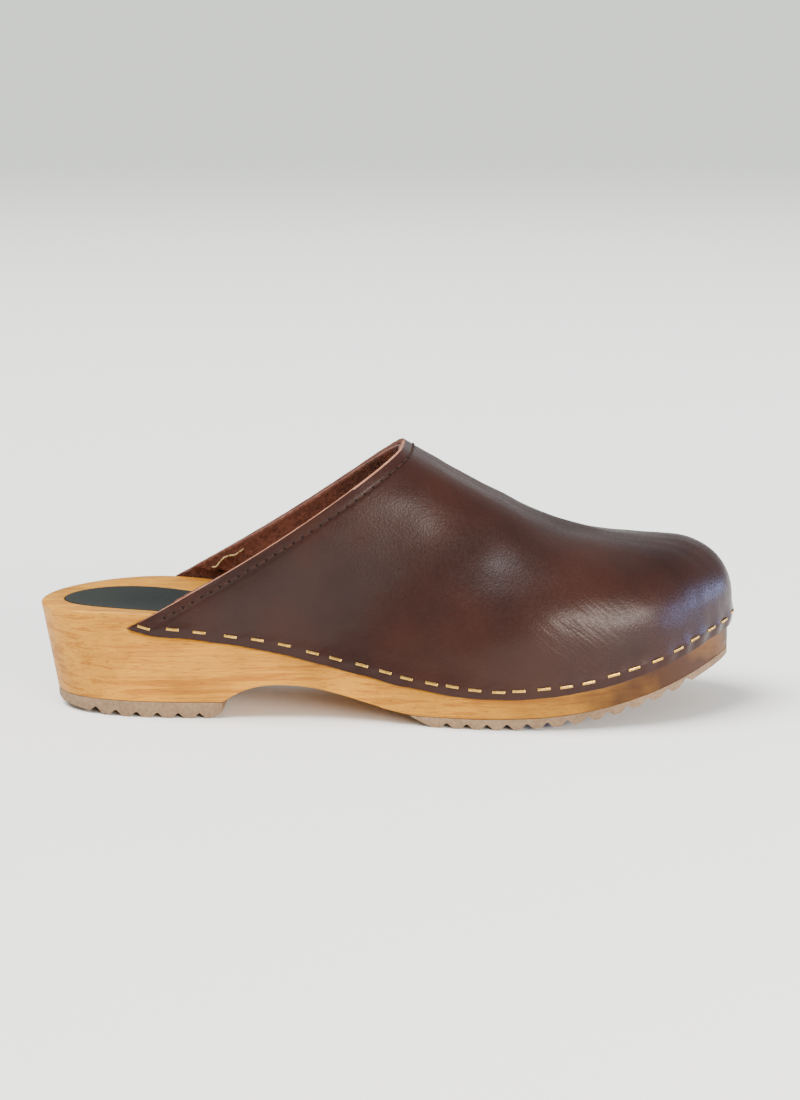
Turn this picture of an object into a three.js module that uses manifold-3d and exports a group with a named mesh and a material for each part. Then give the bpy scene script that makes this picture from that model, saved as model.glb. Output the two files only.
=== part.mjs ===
// A slip-on wooden clog for the right foot: a carved wooden sole with a heel, rubber treads
// under the heel and the ball, a pad let into the heel's seat, and a one-piece leather upper that
// closes over the toes, is open at the back and is stapled into a rebate round the sole's edge.
//
// Millimetres. X runs from the heel to the toe, +Y is the inner side of the foot, +Z is up.
// The exported group stands on Z = 0 with its origin under the middle of its bounding box.

import * as THREE from "three";
import { mergeVertices } from "three/addons/utils/BufferGeometryUtils.js";
import Module from "manifold-3d";

const wasm = await Module();
wasm.setup();

// ---------------------------------------------------------------- driving dimensions

// Plan of the sole, from its long axis.
const SOLE_LENGTH = 262.6;
const HEEL_HALF_WIDTH = 32.5;
const WAIST_OUTER = 32.5;
const WAIST_INNER = 28.5;
const BALL_OUTER = 46;
const BALL_INNER = 45;
const TOE_OFFSET = 9; // the toe's tip lies this far to the inner side

// Heights above the ground.
const HEEL_RIM = 40.5;
const BALL_RIM = 21;
const TOE_RIM = 38.7;
const ARCH_HEIGHT = 13;
const TOE_SPRING = 19.2; // the forefoot tread's underside at the tip of the toe
const INNER_RISE = 1.8; // the rim's inner side stands higher than the outer at the waist
const THROAT_HEIGHT = 100.5;
const TOE_BOX_HEIGHT = 64.2;

// Stations along the sole, from the back of the heel.
const HEEL_BREAST = 72; // the heel's front face at the ground
const FOREPART = 145; // where the forefoot tread starts
const UPPER_TIP = 37; // the rear tips of the upper
const THROAT = 138.5; // the top of the opening

// How far the walls lean in, from the rim down to the ground.
const SIDE_TAPER = 2.5;
const BACK_TAPER = 7.2;

const RIM_ROUND = 1.4;
const HEEL_CUP = 4.5; // depth of the footbed's hollows below the rim
const BALL_CUP = 3.6;
const ARCH_CUP = 1.6;

const HEEL_TREAD = 5.8;
const BALL_TREAD = 3.6;
const TIP_TREAD = 2.3; // the forefoot tread thins to this at the toe's tip
const HEEL_WEAR = 1.3; // how far the heel's tread rises towards its back
const GROOVE_DEPTH = 1.9;
const GROOVE_WIDTH = 5;
const GROOVE_FLOOR = 0.6;
const HEEL_PITCH = 7.95; // from groove to groove
const HEEL_BAR = 23.7; // plain rubber behind the heel's first groove
const BALL_PITCH = 7.42;
const BALL_LEAD = 13.5; // from the forefoot tread's start to its first groove
const TOE_BAR = 14; // plain rubber in front of the last groove

const PAD = 1.5;
const PAD_SINK = 1.4; // depth of the recess for the pad
const PAD_START = 9;
const PAD_LENGTH = 80;
const PAD_HALF_WIDTH = 18.5;

const LEATHER = 2.2;
const PROUD = 0.8; // the leather's face stands this far out of the sole's side
const PROUD_TOE = 1.4; // and this far at the toe
const LAP = 8.5; // how far the leather reaches below the rim
const TOE_LAP = 7.8; // the same at the toe's tip
const TIP_RISE = 2.6; // the rear tips lie this far above the rest of the leather's edge
const SIDE_BULGE = 1.5;
const TOE_BULGE = 1.2;
const TOE_SQUARENESS = 2.6; // 2 is a round cross-section, more is boxier
const INSTEP_SQUARENESS = 4;
const TOPLINE_SAG = 0.045; // the topline's hollow, as a share of its run

const STRIP = 1; // the reinforcing strip inside the topline
const STRIP_WIDTH = 11;
const STRIP_PEEK = 0.8; // the strip shows this far beyond the topline at its rear ends
const STRIP_CLEAR = 2; // the strip ends this far above the sole's rim
const BOBBIN_CLEAR = 6; // and the inner thread this far
const THREAD = 0.7;
const STITCH_MARGIN = 4.4; // from the topline to the row of stitches
const STITCH_MARGIN_REAR = 3.2; // and at its rear ends

const STAPLES_OUTER = 27; // from the outer rear tip to the tip of the toe
const STAPLES_INNER = 21; // and back along the inner side
const FIRST_STAPLE = 6; // from a rear tip
const LAST_OUTER_STAPLE = 3.5; // from the toe's tip
const STAPLE_RISE = 2.8; // above the leather's edge, behind the ball of the foot
const STAPLE_RISE_TOE = 4.1; // and at the tip of the toe
const STAPLE_CROWN = 4.9;
const STAPLE_LEG = 8;
const WIRE_THICKNESS = 0.6;
const WIRE_WIDTH = 1;
const STAPLE_WANDER = 0.5; // hand stapling is this uneven along the edge
const STAPLE_CROWDING = 0.0155; // the staples crowd together towards the toe by this share of its side

const HEEL_ROLL = 7; // the heel tread's back edge is rounded off over this length
const HEEL_FRONT_ROLL = 4; // and its front edge over this one
const BALL_SKIVE = 8; // the forefoot tread thins away over this length at its rear
const BALL_OVERLAP = 2; // the forefoot tread starts this far behind the forepart

const NAIL_LENGTH = 12;
const NAIL_RADIUS = 0.7;
const NAIL_HEAD_RADIUS = 1.6;
const NAIL_HEAD = 0.8;
const NAIL_MARGIN = 6; // from a tread's side to its nails

const GAP = 0.3; // between pieces that touch
const BEYOND = 10; // cutting shapes reach this far past what they cut

// ---------------------------------------------------------------- small tools

const { lerp: mix, smoothstep, clamp } = THREE.MathUtils;

const vec = (x, y, z) => new THREE.Vector3(x, y, z);

// A natural cubic spline through the points (knots[i], values[i]), as a function.
function spline(knots, values) {
  const last = knots.length - 1;
  const ratio = [0];
  const part = [0];
  for (let i = 1; i < last; i++) {
    const before = knots[i] - knots[i - 1];
    const after = knots[i + 1] - knots[i];
    const turn = (values[i + 1] - values[i]) / after - (values[i] - values[i - 1]) / before;
    const pivot = 2 * (before + after) - before * ratio[i - 1];
    ratio.push(after / pivot);
    part.push((6 * turn - before * part[i - 1]) / pivot);
  }
  const bend = new Array(last + 1).fill(0);
  for (let i = last - 1; i > 0; i--) bend[i] = part[i] - ratio[i] * bend[i + 1];
  return (x) => {
    let i = 0;
    while (i < last - 1 && x > knots[i + 1]) i++;
    const step = knots[i + 1] - knots[i];
    const a = (knots[i + 1] - x) / step;
    const b = 1 - a;
    const bow = (a ** 3 - a) * bend[i] + (b ** 3 - b) * bend[i + 1];
    return a * values[i] + b * values[i + 1] + (bow * step ** 2) / 6;
  };
}

// The value in [low, high] where a rising function reaches a target.
function reach(rising, target, low, high) {
  for (let i = 0; i < 40; i++) {
    const middle = (low + high) / 2;
    if (rising(middle) < target) low = middle;
    else high = middle;
  }
  return (low + high) / 2;
}

// count + 1 numbers from one value to another.
const steps = (from, to, count) =>
  Array.from({ length: count + 1 }, (_, i) => mix(from, to, i / count));

// A bowl of depth 1 at its centre that runs out smoothly at its rim.
const bowl = (dx, dy) => Math.max(0, 1 - dx ** 2 - dy ** 2) ** 2;

// ---------------------------------------------------------------- solids

function solidOf(geometry) {
  const bare = new THREE.BufferGeometry().setAttribute("position", geometry.getAttribute("position"));
  if (geometry.index) bare.setIndex(geometry.index);
  const merged = mergeVertices(bare, 1e-4);
  return new wasm.Manifold(
    new wasm.Mesh({
      numProp: 3,
      vertProperties: merged.getAttribute("position").array,
      triVerts: new Uint32Array(merged.index.array),
    }),
  );
}

function geometryOf(solid) {
  const { vertProperties, triVerts } = solid.getMesh();
  return new THREE.BufferGeometry()
    .setAttribute("position", new THREE.BufferAttribute(vertProperties, 3))
    .setIndex(new THREE.BufferAttribute(triVerts, 1));
}

// Points and triangles of a grid of points. Points that coincide are joined, which closes poles
// and seams. backs, if given, is a matching grid, kept point by point.
function weld(grid, backs = grid) {
  const seen = new Map();
  const points = [];
  const partners = [];
  const index = grid.map((row, i) =>
    row.map((point, j) => {
      const key = point.toArray().map((c) => Math.round(c * 1000)).join();
      if (!seen.has(key)) {
        seen.set(key, points.length);
        points.push(point);
        partners.push(backs[i][j]);
      }
      return seen.get(key);
    }),
  );
  const faces = [];
  for (let i = 0; i + 1 < grid.length; i++)
    for (let j = 0; j + 1 < grid[i].length; j++) {
      const [a, b, c, d] = [index[i][j], index[i + 1][j], index[i + 1][j + 1], index[i][j + 1]];
      for (const face of [[a, b, c], [a, c, d]]) if (new Set(face).size === 3) faces.push(face);
    }
  return { points, partners, faces };
}

function solidFrom(points, faces) {
  return new wasm.Manifold(
    new wasm.Mesh({
      numProp: 3,
      vertProperties: new Float32Array(points.flatMap((p) => p.toArray())),
      triVerts: new Uint32Array(faces.flat()),
    }),
  );
}

// The solid inside a grid that closes on itself.
function skin(grid) {
  const { points, faces } = weld(grid);
  return solidFrom(points, faces);
}

// The solid between a grid and its matching grid behind, with every open border closed.
function thicken(front, back) {
  const { points, partners, faces } = weld(front, back);
  const n = points.length;
  const sides = ([a, b, c]) => [[a, b], [b, c], [c, a]];
  const used = new Set(faces.flatMap((face) => sides(face).map(String)));
  const borders = faces.flatMap((face) => sides(face).filter(([p, q]) => !used.has(String([q, p]))));
  return solidFrom(points.concat(partners), [
    ...faces,
    ...faces.map(([a, b, c]) => [c + n, b + n, a + n]),
    ...borders.flatMap(([p, q]) => [[q, p, p + n], [q, p + n, q + n]]),
  ]);
}

// A prism over a plan outline of [x, y] points, between two heights.
function planPrism(outline, low, high) {
  const shape = new THREE.Shape(outline.map(([x, y]) => new THREE.Vector2(x, y)));
  const depth = high - low;
  return solidOf(new THREE.ExtrudeGeometry(shape, { depth, bevelEnabled: false }).translate(0, 0, low));
}

// A prism over a side profile of [x, z] points, as wide as the whole sole and more.
function sidePrism(profile) {
  const shape = new THREE.Shape(profile.map(([x, z]) => new THREE.Vector2(x, z)));
  const half = 2 * Math.max(BALL_OUTER, BALL_INNER);
  const geometry = new THREE.ExtrudeGeometry(shape, { depth: 2 * half, bevelEnabled: false });
  return solidOf(geometry.rotateX(Math.PI / 2).translate(0, half, 0));
}

// ---------------------------------------------------------------- the sole's plan

// Points down each side, from the tip of the toe to the back of the heel: share of the length,
// and the distance from the long axis.
const INNER_SIDE = [
  [1, TOE_OFFSET],
  [0.964, 0.7 * BALL_INNER],
  [0.873, 0.955 * BALL_INNER],
  [0.752, BALL_INNER],
  [0.621, 0.865 * BALL_INNER],
  [0.49, mix(WAIST_INNER, BALL_INNER, 0.15)],
  [0.368, WAIST_INNER],
  [0.246, mix(WAIST_INNER, HEEL_HALF_WIDTH, 0.65)],
  [0.13, 0.97 * HEEL_HALF_WIDTH],
  [0.035, 0.65 * HEEL_HALF_WIDTH],
  [0, 0],
];
const OUTER_SIDE = [
  [1, TOE_OFFSET],
  [0.965, -0.27 * BALL_OUTER],
  [0.892, -0.7 * BALL_OUTER],
  [0.77, -0.965 * BALL_OUTER],
  [0.64, -0.985 * BALL_OUTER],
  [0.51, -mix(WAIST_OUTER, BALL_OUTER, 0.45)],
  [0.38, -WAIST_OUTER],
  [0.254, -HEEL_HALF_WIDTH],
  [0.13, -0.97 * HEEL_HALF_WIDTH],
  [0.035, -0.65 * HEEL_HALF_WIDTH],
  [0, 0],
];
const SPANS = INNER_SIDE.length - 1;

// Point k of the closed outline: 0 is the toe's tip, positive runs down the inner side.
function outlinePoint(k) {
  const turn = ((k % (2 * SPANS)) + 2 * SPANS) % (2 * SPANS);
  return turn <= SPANS ? INNER_SIDE[turn] : OUTER_SIDE[2 * SPANS - turn];
}
const LOOP = steps(-2 * SPANS, 2 * SPANS, 4 * SPANS).map(Math.round); // twice round, to close smoothly
const planX = spline(LOOP, LOOP.map((k) => SOLE_LENGTH * outlinePoint(k)[0]));
const planY = spline(LOOP, LOOP.map((k) => outlinePoint(k)[1]));

// The outline's parameter at a share of the length of one side, inner (1) or outer (-1).
function evenly(side) {
  const ks = steps(0, SPANS, 8 * SPANS).map((k) => side * k);
  const lengths = [0];
  for (let i = 1; i < ks.length; i++) {
    const step = Math.hypot(planX(ks[i]) - planX(ks[i - 1]), planY(ks[i]) - planY(ks[i - 1]));
    lengths.push(lengths[i - 1] + step);
  }
  return { length: lengths.at(-1), at: spline(lengths.map((l) => l / lengths.at(-1)), ks) };
}
const INNER = evenly(1);
const OUTER = evenly(-1);

// The sole's rim in plan. u is 0 at the toe's tip, 1 at the heel's back by way of the inner side
// and -1 there by the outer side. out moves the point outwards, square to the rim.
function rimPlan(u, out = 0) {
  const k = u < 0 ? OUTER.at(-u) : INNER.at(u);
  const tangent = new THREE.Vector2(planX(k + 0.01) - planX(k - 0.01), planY(k + 0.01) - planY(k - 0.01));
  tangent.normalize();
  return { x: planX(k) + out * tangent.y, y: planY(k) - out * tangent.x, nx: tangent.y };
}

// The line down the middle of the sole that its webs run in to. a is |u|.
function spine(a) {
  const x = SOLE_LENGTH * mix(0.83, 0.13, smoothstep(a, 0.1, 0.9));
  return { x, y: TOE_OFFSET * 0.6 * smoothstep(x, SOLE_LENGTH * 0.5, SOLE_LENGTH) };
}

// ---------------------------------------------------------------- heights

const share = (shares) => shares.map((s) => s * SOLE_LENGTH);

const rimLine = spline(share([-0.1, 0, 0.17, 0.31, 0.46, 0.635, 0.77, 0.9, 1, 1.05]), [
  HEEL_RIM - 2,
  HEEL_RIM - 1,
  HEEL_RIM,
  mix(BALL_RIM, HEEL_RIM, 0.8),
  mix(BALL_RIM, HEEL_RIM, 0.37),
  BALL_RIM,
  mix(BALL_RIM, TOE_RIM, 0.1),
  mix(BALL_RIM, TOE_RIM, 0.53),
  TOE_RIM,
  mix(BALL_RIM, TOE_RIM, 1.15),
]);

function rimHeight(x, y) {
  const arch = bowl((x - 0.27 * SOLE_LENGTH) / (0.3 * SOLE_LENGTH), 0);
  return rimLine(x) + INNER_RISE * arch * smoothstep(y, -5, WAIST_INNER);
}

const footbed = (x, y) =>
  rimHeight(x, y) -
  HEEL_CUP * bowl((x - 0.19 * SOLE_LENGTH) / (0.19 * SOLE_LENGTH), y / HEEL_HALF_WIDTH) -
  ARCH_CUP * bowl((x - 0.45 * SOLE_LENGTH) / (0.28 * SOLE_LENGTH), y / WAIST_INNER) -
  BALL_CUP * bowl((x - 0.72 * SOLE_LENGTH) / (0.26 * SOLE_LENGTH), (y - 2) / BALL_OUTER);

const BALL_FLOOR = BALL_TREAD + GAP; // the wood's underside over the ball
const TIP_FLOOR = TOE_SPRING + TIP_TREAD + GAP;

// The wood's underside from the heel's front face to the toe, cut straight across the sole.
const archLine = spline(
  [
    HEEL_BREAST,
    mix(HEEL_BREAST, FOREPART, 0.1),
    mix(HEEL_BREAST, FOREPART, 0.29),
    mix(HEEL_BREAST, FOREPART, 0.53),
    mix(HEEL_BREAST, FOREPART, 0.78),
    FOREPART,
    ...steps(FOREPART, SOLE_LENGTH, 5).slice(1),
  ],
  [
    HEEL_TREAD + GAP,
    mix(HEEL_TREAD, ARCH_HEIGHT, 0.62),
    ARCH_HEIGHT,
    mix(BALL_FLOOR, ARCH_HEIGHT, 0.83),
    mix(BALL_FLOOR, ARCH_HEIGHT, 0.33),
    BALL_FLOOR,
    BALL_FLOOR,
    mix(BALL_FLOOR, TIP_FLOOR, 0.055),
    mix(BALL_FLOOR, TIP_FLOOR, 0.225),
    mix(BALL_FLOOR, TIP_FLOOR, 0.56),
    TIP_FLOOR,
  ],
);
const underside = (x) => (x < HEEL_BREAST ? HEEL_TREAD + GAP : Math.max(BALL_FLOOR, archLine(x)));

// ---------------------------------------------------------------- the upper's surface

// The outline parameters of the two rear tips.
const TIP_INNER = reach((u) => -rimPlan(u).x, -UPPER_TIP, 0.4, 1);
const TIP_OUTER = reach((u) => -rimPlan(-u).x, -UPPER_TIP, 0.4, 1);

const EDGE_LENGTH = TIP_OUTER * OUTER.length; // of the leather, from the toe to a rear tip

const POLE = 0.9 * SOLE_LENGTH; // the ribs of the toe all rise to this station
const FAN = 0.16; // ribs below this share of the way to a rear tip rise to the pole

const crest = spline(
  [0, 0.24, 0.48, 0.72, 1, 1.2].map((t) => mix(THROAT, POLE, t)),
  [1, 0.63, 0.31, 0.095, 0, 0].map((t) => mix(TOE_BOX_HEIGHT, THROAT_HEIGHT, t)),
);

// The upper's outer face. Its ribs rise from the leather's lower edge to the crest: w is -1 at the
// outer rear tip, 0 at the toe's tip and 1 at the inner rear tip, and v climbs from 0 to 1. The
// ribs at w = -1 and w = 1 are the topline.
function upperFace(w, v) {
  const a = Math.abs(w);
  const u = w * (w < 0 ? TIP_OUTER : TIP_INNER);
  const proud = mix(PROUD_TOE, PROUD, smoothstep(a, 0, 0.4));
  const base = rimPlan(u, proud);
  const lap = mix(TOE_LAP, LAP, smoothstep(a, 0, 0.35));
  const foot = rimHeight(base.x, base.y) - lap + TIP_RISE * smoothstep(a, 0.955, 1.01);
  const back = Math.max(0, (a - FAN) / (1 - FAN)) ** 1.3;
  const topX = mix(POLE, THROAT, back);
  const topY = TOE_OFFSET * 0.8 * (1 - back);

  const square = mix(TOE_SQUARENESS, INSTEP_SQUARENESS, smoothstep(a, 0.1, 0.8));
  const [across, up] = [Math.cos((v * Math.PI) / 2), Math.sin((v * Math.PI) / 2)];
  const reachOut = (Math.max(0, across) ** square + up ** square) ** (-1 / square);
  const rise = reachOut * up;
  const inward = 1 - reachOut * across;

  const lean = rise + TOPLINE_SAG * Math.sin(Math.PI * rise);
  const along = mix(inward, lean, smoothstep(a, 0.1, 0.75));
  const bulge = mix(TOE_BULGE, SIDE_BULGE, smoothstep(a, 0, 0.35)) * (1 - smoothstep(a, 0.5, 0.95));
  const out = rimPlan(u, proud + bulge * Math.sin(Math.PI * Math.min(1, 1.25 * v)) ** 1.5);
  return vec(mix(out.x, topX, along), mix(out.y, topY, inward), mix(foot, crest(topX), rise));
}

// The face's outward direction, level at its foot so that the leather's edge is cut square.
function upperNormal(w, v) {
  const at = clamp(v, 0.01, 0.985);
  const one = (side) => {
    const across = upperFace(side + 0.004, at).sub(upperFace(side - 0.004, at));
    const up = upperFace(side, at + 0.008).sub(upperFace(side, at - 0.008));
    const normal = across.cross(up).normalize();
    normal.z *= smoothstep(v, 0, 0.1);
    return normal.normalize();
  };
  return v > 0.985 ? one(w).add(one(-w)).normalize() : one(w);
}

// A point at a height out of the face; a negative height is inside the upper.
const upperPoint = (w, v, height) => upperFace(w, v).addScaledVector(upperNormal(w, v), height);

// How far up a rib the face has risen by some height above its foot.
const climb = (w, height) => reach((v) => upperFace(w, v).z - upperFace(w, 0).z, height, 0, 1);

// The rib that lies a distance in from the topline, at level v on the side of the given sign. A
// negative distance is beyond the topline.
function fromTopline(sign, v, distance) {
  const inwards = distance < 0 ? -1 : 1;
  const edge = upperFace(sign, v);
  const run = upperFace(sign, Math.min(1, v + 0.01)).sub(upperFace(sign, Math.max(0, v - 0.01)));
  run.normalize();
  const away = (a) => {
    const step = upperFace(sign * (1 - inwards * a), v).sub(edge);
    return step.addScaledVector(run, -step.dot(run)).length();
  };
  return sign * (1 - inwards * reach(away, Math.abs(distance), 0, 0.35));
}

// The level at which the topline passes a height above the rim of the sole.
function overRim(sign, height) {
  const above = (v) => {
    const point = upperFace(sign, v);
    return point.z - rimHeight(point.x, point.y);
  };
  return reach(above, height, 0, 1);
}

// ---------------------------------------------------------------- fasteners' places

// The staples' places round the leather's edge from the outer tip to the inner one, as ribs and
// levels. They come nearer to the edge at the tips, where the leather narrows.
function staplePlaces() {
  const crowded = (t) => t + STAPLE_CROWDING * (Math.sin(Math.PI * t) + Math.sin(2 * Math.PI * t));
  const rear = 1 - FIRST_STAPLE / EDGE_LENGTH;
  const front = -LAST_OUTER_STAPLE / EDGE_LENGTH;
  const outer = steps(0, 1, STAPLES_OUTER - 1).map((t) => mix(-rear, front, crowded(t)));
  const inner = steps(front, rear, STAPLES_INNER).slice(1);
  const wander = (i) => (STAPLE_WANDER / EDGE_LENGTH) * Math.sin(2.4 * i);
  return [...outer, ...inner].map((place, i) => {
    const w = place + wander(i);
    const narrow = smoothstep((1 - Math.abs(w)) * EDGE_LENGTH, FIRST_STAPLE, 2.5 * FIRST_STAPLE);
    const rise = mix(STAPLE_RISE_TOE, STAPLE_RISE, smoothstep(Math.abs(w), 0.05, 0.75));
    const height = rise * mix(0.6, 1 + 0.07 * Math.sin(1.7 * i), narrow);
    const along = upperFace(w + 0.01, 0).sub(upperFace(w, 0)).normalize();
    const lean = upperFace(w, climb(w, height)).sub(upperFace(w, 0)).dot(along);
    const rib = w - lean / EDGE_LENGTH; // the ribs lean forward, so the staple starts from one behind
    return [rib, climb(rib, height)];
  });
}

// A frame on the upper's face: x along the leather's edge, y up the leather, z outwards.
function faceFrame(w, v) {
  const out = upperNormal(w, v);
  const along = upperFace(w + 0.01, v).sub(upperFace(w - 0.01, v));
  along.addScaledVector(out, -along.dot(out)).normalize();
  const up = out.clone().cross(along);
  return new THREE.Matrix4().makeBasis(along, up, out).setPosition(upperFace(w, v));
}

// ---------------------------------------------------------------- the pieces

const AROUND = 44; // steps down each side of the sole
const sideSteps = steps(-1, 1, 2 * AROUND);

// The solid of closed sections set all round the sole.
function soleRound(section) {
  const sections = sideSteps.slice(1).map(section);
  return skin([sections.at(-1), ...sections]);
}

function taper(u) {
  const { x, nx } = rimPlan(u);
  const rear = mix(SIDE_TAPER, BACK_TAPER, Math.max(0, -nx));
  return x < SOLE_LENGTH / 2 ? rear : SIDE_TAPER * smoothstep(Math.abs(u), 0, 0.25);
}

// The sole's outline at a height.
function wallPlan(u, z) {
  const { x, y } = rimPlan(u);
  return rimPlan(u, -taper(u) * clamp(1 - z / rimHeight(x, y), 0, 1));
}

// One closed section of the sole, from the spine on the ground, out, up and back to the spine.
function soleSection(u) {
  const middle = spine(Math.abs(u));
  const wall = rimPlan(u);
  const lip = rimPlan(u, -RIM_ROUND);
  const foot = wallPlan(u, 0);
  const inner = [0.75, 0.5, 0.25, 0].map((r) => [mix(middle.x, lip.x, r), mix(middle.y, lip.y, r)]);
  return [
    vec(middle.x, middle.y, 0),
    vec(foot.x, foot.y, 0),
    vec(wall.x, wall.y, rimHeight(wall.x, wall.y) - RIM_ROUND),
    vec(lip.x, lip.y, rimHeight(lip.x, lip.y)),
    ...inner.map(([x, y]) => vec(x, y, footbed(x, y))),
  ];
}

function sideProfile() {
  const arch = steps(HEEL_BREAST, FOREPART, 16);
  const fore = steps(FOREPART, SOLE_LENGTH + BEYOND, 18).slice(1);
  const under = [...arch, ...fore].map((x) => [x, underside(x)]);
  const top = HEEL_RIM + TOE_RIM;
  return [[-BEYOND, HEEL_TREAD + GAP], ...under, [SOLE_LENGTH + BEYOND, top], [-BEYOND, top]];
}

function makeSole(rooms) {
  const blank = soleRound(soleSection);
  return rooms.reduce((body, room) => body.subtract(room), blank.intersect(sidePrism(sideProfile())));
}

// A sheet over the egg-shaped plan of the heel pad, between two heights over the footbed. grown
// widens it all round.
function padSheet(grown, low, high) {
  const half = PAD_LENGTH / 2 + grown;
  const rim = (angle) => {
    const t = (1 - Math.cos(angle)) / 2;
    const blunt = 1.28 - 0.65 * t; // wider at the back
    return [PAD_START - grown + 2 * half * t, (PAD_HALF_WIDTH * blunt + grown) * Math.sin(angle)];
  };
  const centre = PAD_START + PAD_LENGTH * 0.4;
  const column = (angle) => {
    const [edgeX, edgeY] = rim(angle);
    const at = (r, lift) => {
      const [x, y] = [mix(centre, edgeX, r), edgeY * r];
      return vec(x, y, footbed(x, y) + lift);
    };
    return [...[0, 0.5, 1].map((r) => at(r, low)), ...[1, 0.5, 0].map((r) => at(r, high))];
  };
  const columns = steps(2 * Math.PI, 0, 48).slice(1).map(column);
  return skin([columns.at(-1), ...columns]);
}

// The underside of a tread between two stations, with its grooves, as [x, z] points.
function treadUnderside(from, to, floor, grooves) {
  const points = [from, ...steps(from, to, 12).slice(1, -1), to]
    .filter((x) => grooves.every((g) => Math.abs(x - g) > GROOVE_WIDTH * 0.6))
    .map((x) => [x, floor(x)]);
  const notch = [[-GROOVE_WIDTH, 0], [-GROOVE_FLOOR, 1], [GROOVE_FLOOR, 1], [GROOVE_WIDTH, 0]];
  for (const g of grooves)
    for (const [dx, rise] of notch)
      points.push([g + dx / 2, floor(g + dx / 2) + rise * GROOVE_DEPTH]);
  return points.sort((a, b) => a[0] - b[0]);
}

// The stations of a row of grooves.
const groovesFrom = (first, last, pitch) => {
  const count = Math.floor((last - first) / pitch);
  return steps(0, count, Math.max(1, count)).map((i) => first + i * pitch);
};
const HEEL_GROOVES = groovesFrom(HEEL_BAR, HEEL_BREAST - HEEL_PITCH, HEEL_PITCH);
const BALL_START = FOREPART - BALL_OVERLAP;
const BALL_GROOVES = groovesFrom(BALL_START + BALL_LEAD, SOLE_LENGTH - TOE_BAR, BALL_PITCH);

const ballFloor = (x) => (TOE_SPRING * Math.max(0, underside(x) - BALL_FLOOR)) / (TIP_FLOOR - BALL_FLOOR);

const heelFloor = (x) => HEEL_WEAR * Math.max(0, (0.63 * HEEL_BREAST - x) / (0.35 * HEEL_BREAST)) ** 2;

function makeHeelTread(nailRoom) {
  const back = BACK_TAPER * (1 - HEEL_TREAD / HEEL_RIM);
  const profile = [
    ...treadUnderside(back + HEEL_ROLL, HEEL_BREAST - HEEL_FRONT_ROLL, heelFloor, HEEL_GROOVES),
    [HEEL_BREAST, 0.4 * HEEL_TREAD],
    [HEEL_BREAST, HEEL_TREAD],
    [0, HEEL_TREAD],
    [back + 0.11 * HEEL_ROLL, 0.6 * HEEL_TREAD],
    [back + 0.43 * HEEL_ROLL, 0.42 * HEEL_TREAD],
  ];
  const plan = sideSteps.map((u) => wallPlan(u, HEEL_TREAD)).map(({ x, y }) => [x, y]);
  const block = planPrism(plan.slice(1), -BEYOND, HEEL_TREAD + BEYOND);
  return sidePrism(profile).intersect(block).subtract(nailRoom);
}

function makeBallTread(nailRoom) {
  const end = SOLE_LENGTH + BEYOND;
  const top = steps(end, BALL_START, 24).map((x) => [x, underside(x) - GAP]);
  const profile = [...treadUnderside(BALL_START + BALL_SKIVE, end, ballFloor, BALL_GROOVES), ...top];
  const plan = sideSteps.map((u) => wallPlan(u, BALL_FLOOR)).map(({ x, y }) => [x, y]);
  const block = planPrism(plan.slice(1), -BEYOND, TIP_FLOOR + BEYOND);
  return sidePrism(profile).intersect(block).subtract(nailRoom);
}

// The nails' places: two in each tread, one by each side, each at the bottom of a groove.
function nailPlaces() {
  const row = (x, ground) => {
    const inner = reach((u) => -rimPlan(u).x, -x, 0, 1);
    const outer = reach((u) => -rimPlan(-u).x, -x, 0, 1);
    const inset = SIDE_TAPER + NAIL_MARGIN;
    return [rimPlan(-outer).y + inset, rimPlan(inner).y - inset].map((y) => vec(x, y, ground));
  };
  const [heelGroove, ballGroove] = [HEEL_GROOVES[3], BALL_GROOVES[1]];
  return [...row(heelGroove, heelFloor(heelGroove)), ...row(ballGroove, ballFloor(ballGroove))];
}

// A nail, point up, with its head's seat at the bottom of a groove; grown makes the room for it.
function nailShape(grown) {
  const seat = GROOVE_DEPTH;
  const [head, shank] = [NAIL_HEAD_RADIUS + grown, NAIL_RADIUS + grown];
  const low = grown ? -BEYOND : seat - NAIL_HEAD - GAP;
  const profile = [
    [0, low],
    [head, low],
    [head, seat - GAP + grown],
    [shank, seat - GAP + grown],
    [shank, NAIL_LENGTH - NAIL_RADIUS + grown],
    [0, NAIL_LENGTH + grown],
  ];
  const outline = profile.map(([x, y]) => new THREE.Vector2(x, y));
  return new THREE.LatheGeometry(outline, 10).rotateX(Math.PI / 2);
}

// A staple in its face frame: the crown along x, the legs down -z.
function stapleShape() {
  const [half, top] = [STAPLE_CROWN / 2, GAP + WIRE_THICKNESS];
  const leg = half - WIRE_THICKNESS;
  const outline = [
    [-half, -STAPLE_LEG],
    [-leg, -STAPLE_LEG],
    [-leg, GAP],
    [leg, GAP],
    [leg, -STAPLE_LEG],
    [half, -STAPLE_LEG],
    [half, top],
    [-half, top],
  ];
  const shape = new THREE.Shape(outline.map(([x, y]) => new THREE.Vector2(x, y)));
  const geometry = new THREE.ExtrudeGeometry(shape, { depth: WIRE_WIDTH, bevelEnabled: false });
  return geometry.translate(0, 0, -WIRE_WIDTH / 2).rotateX(Math.PI / 2);
}

// The room for a staple's two legs, in its face frame.
function legRoomShape() {
  const across = WIRE_THICKNESS + 2 * GAP;
  const reachIn = STAPLE_LEG + GAP;
  const over = 1; // past the leather's face
  const leg = new THREE.BoxGeometry(across, WIRE_WIDTH + 2 * GAP, reachIn + over);
  const place = (STAPLE_CROWN - WIRE_THICKNESS) / 2;
  return [-place, place].map((x) => leg.clone().translate(x, 0, (over - reachIn) / 2));
}

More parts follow.
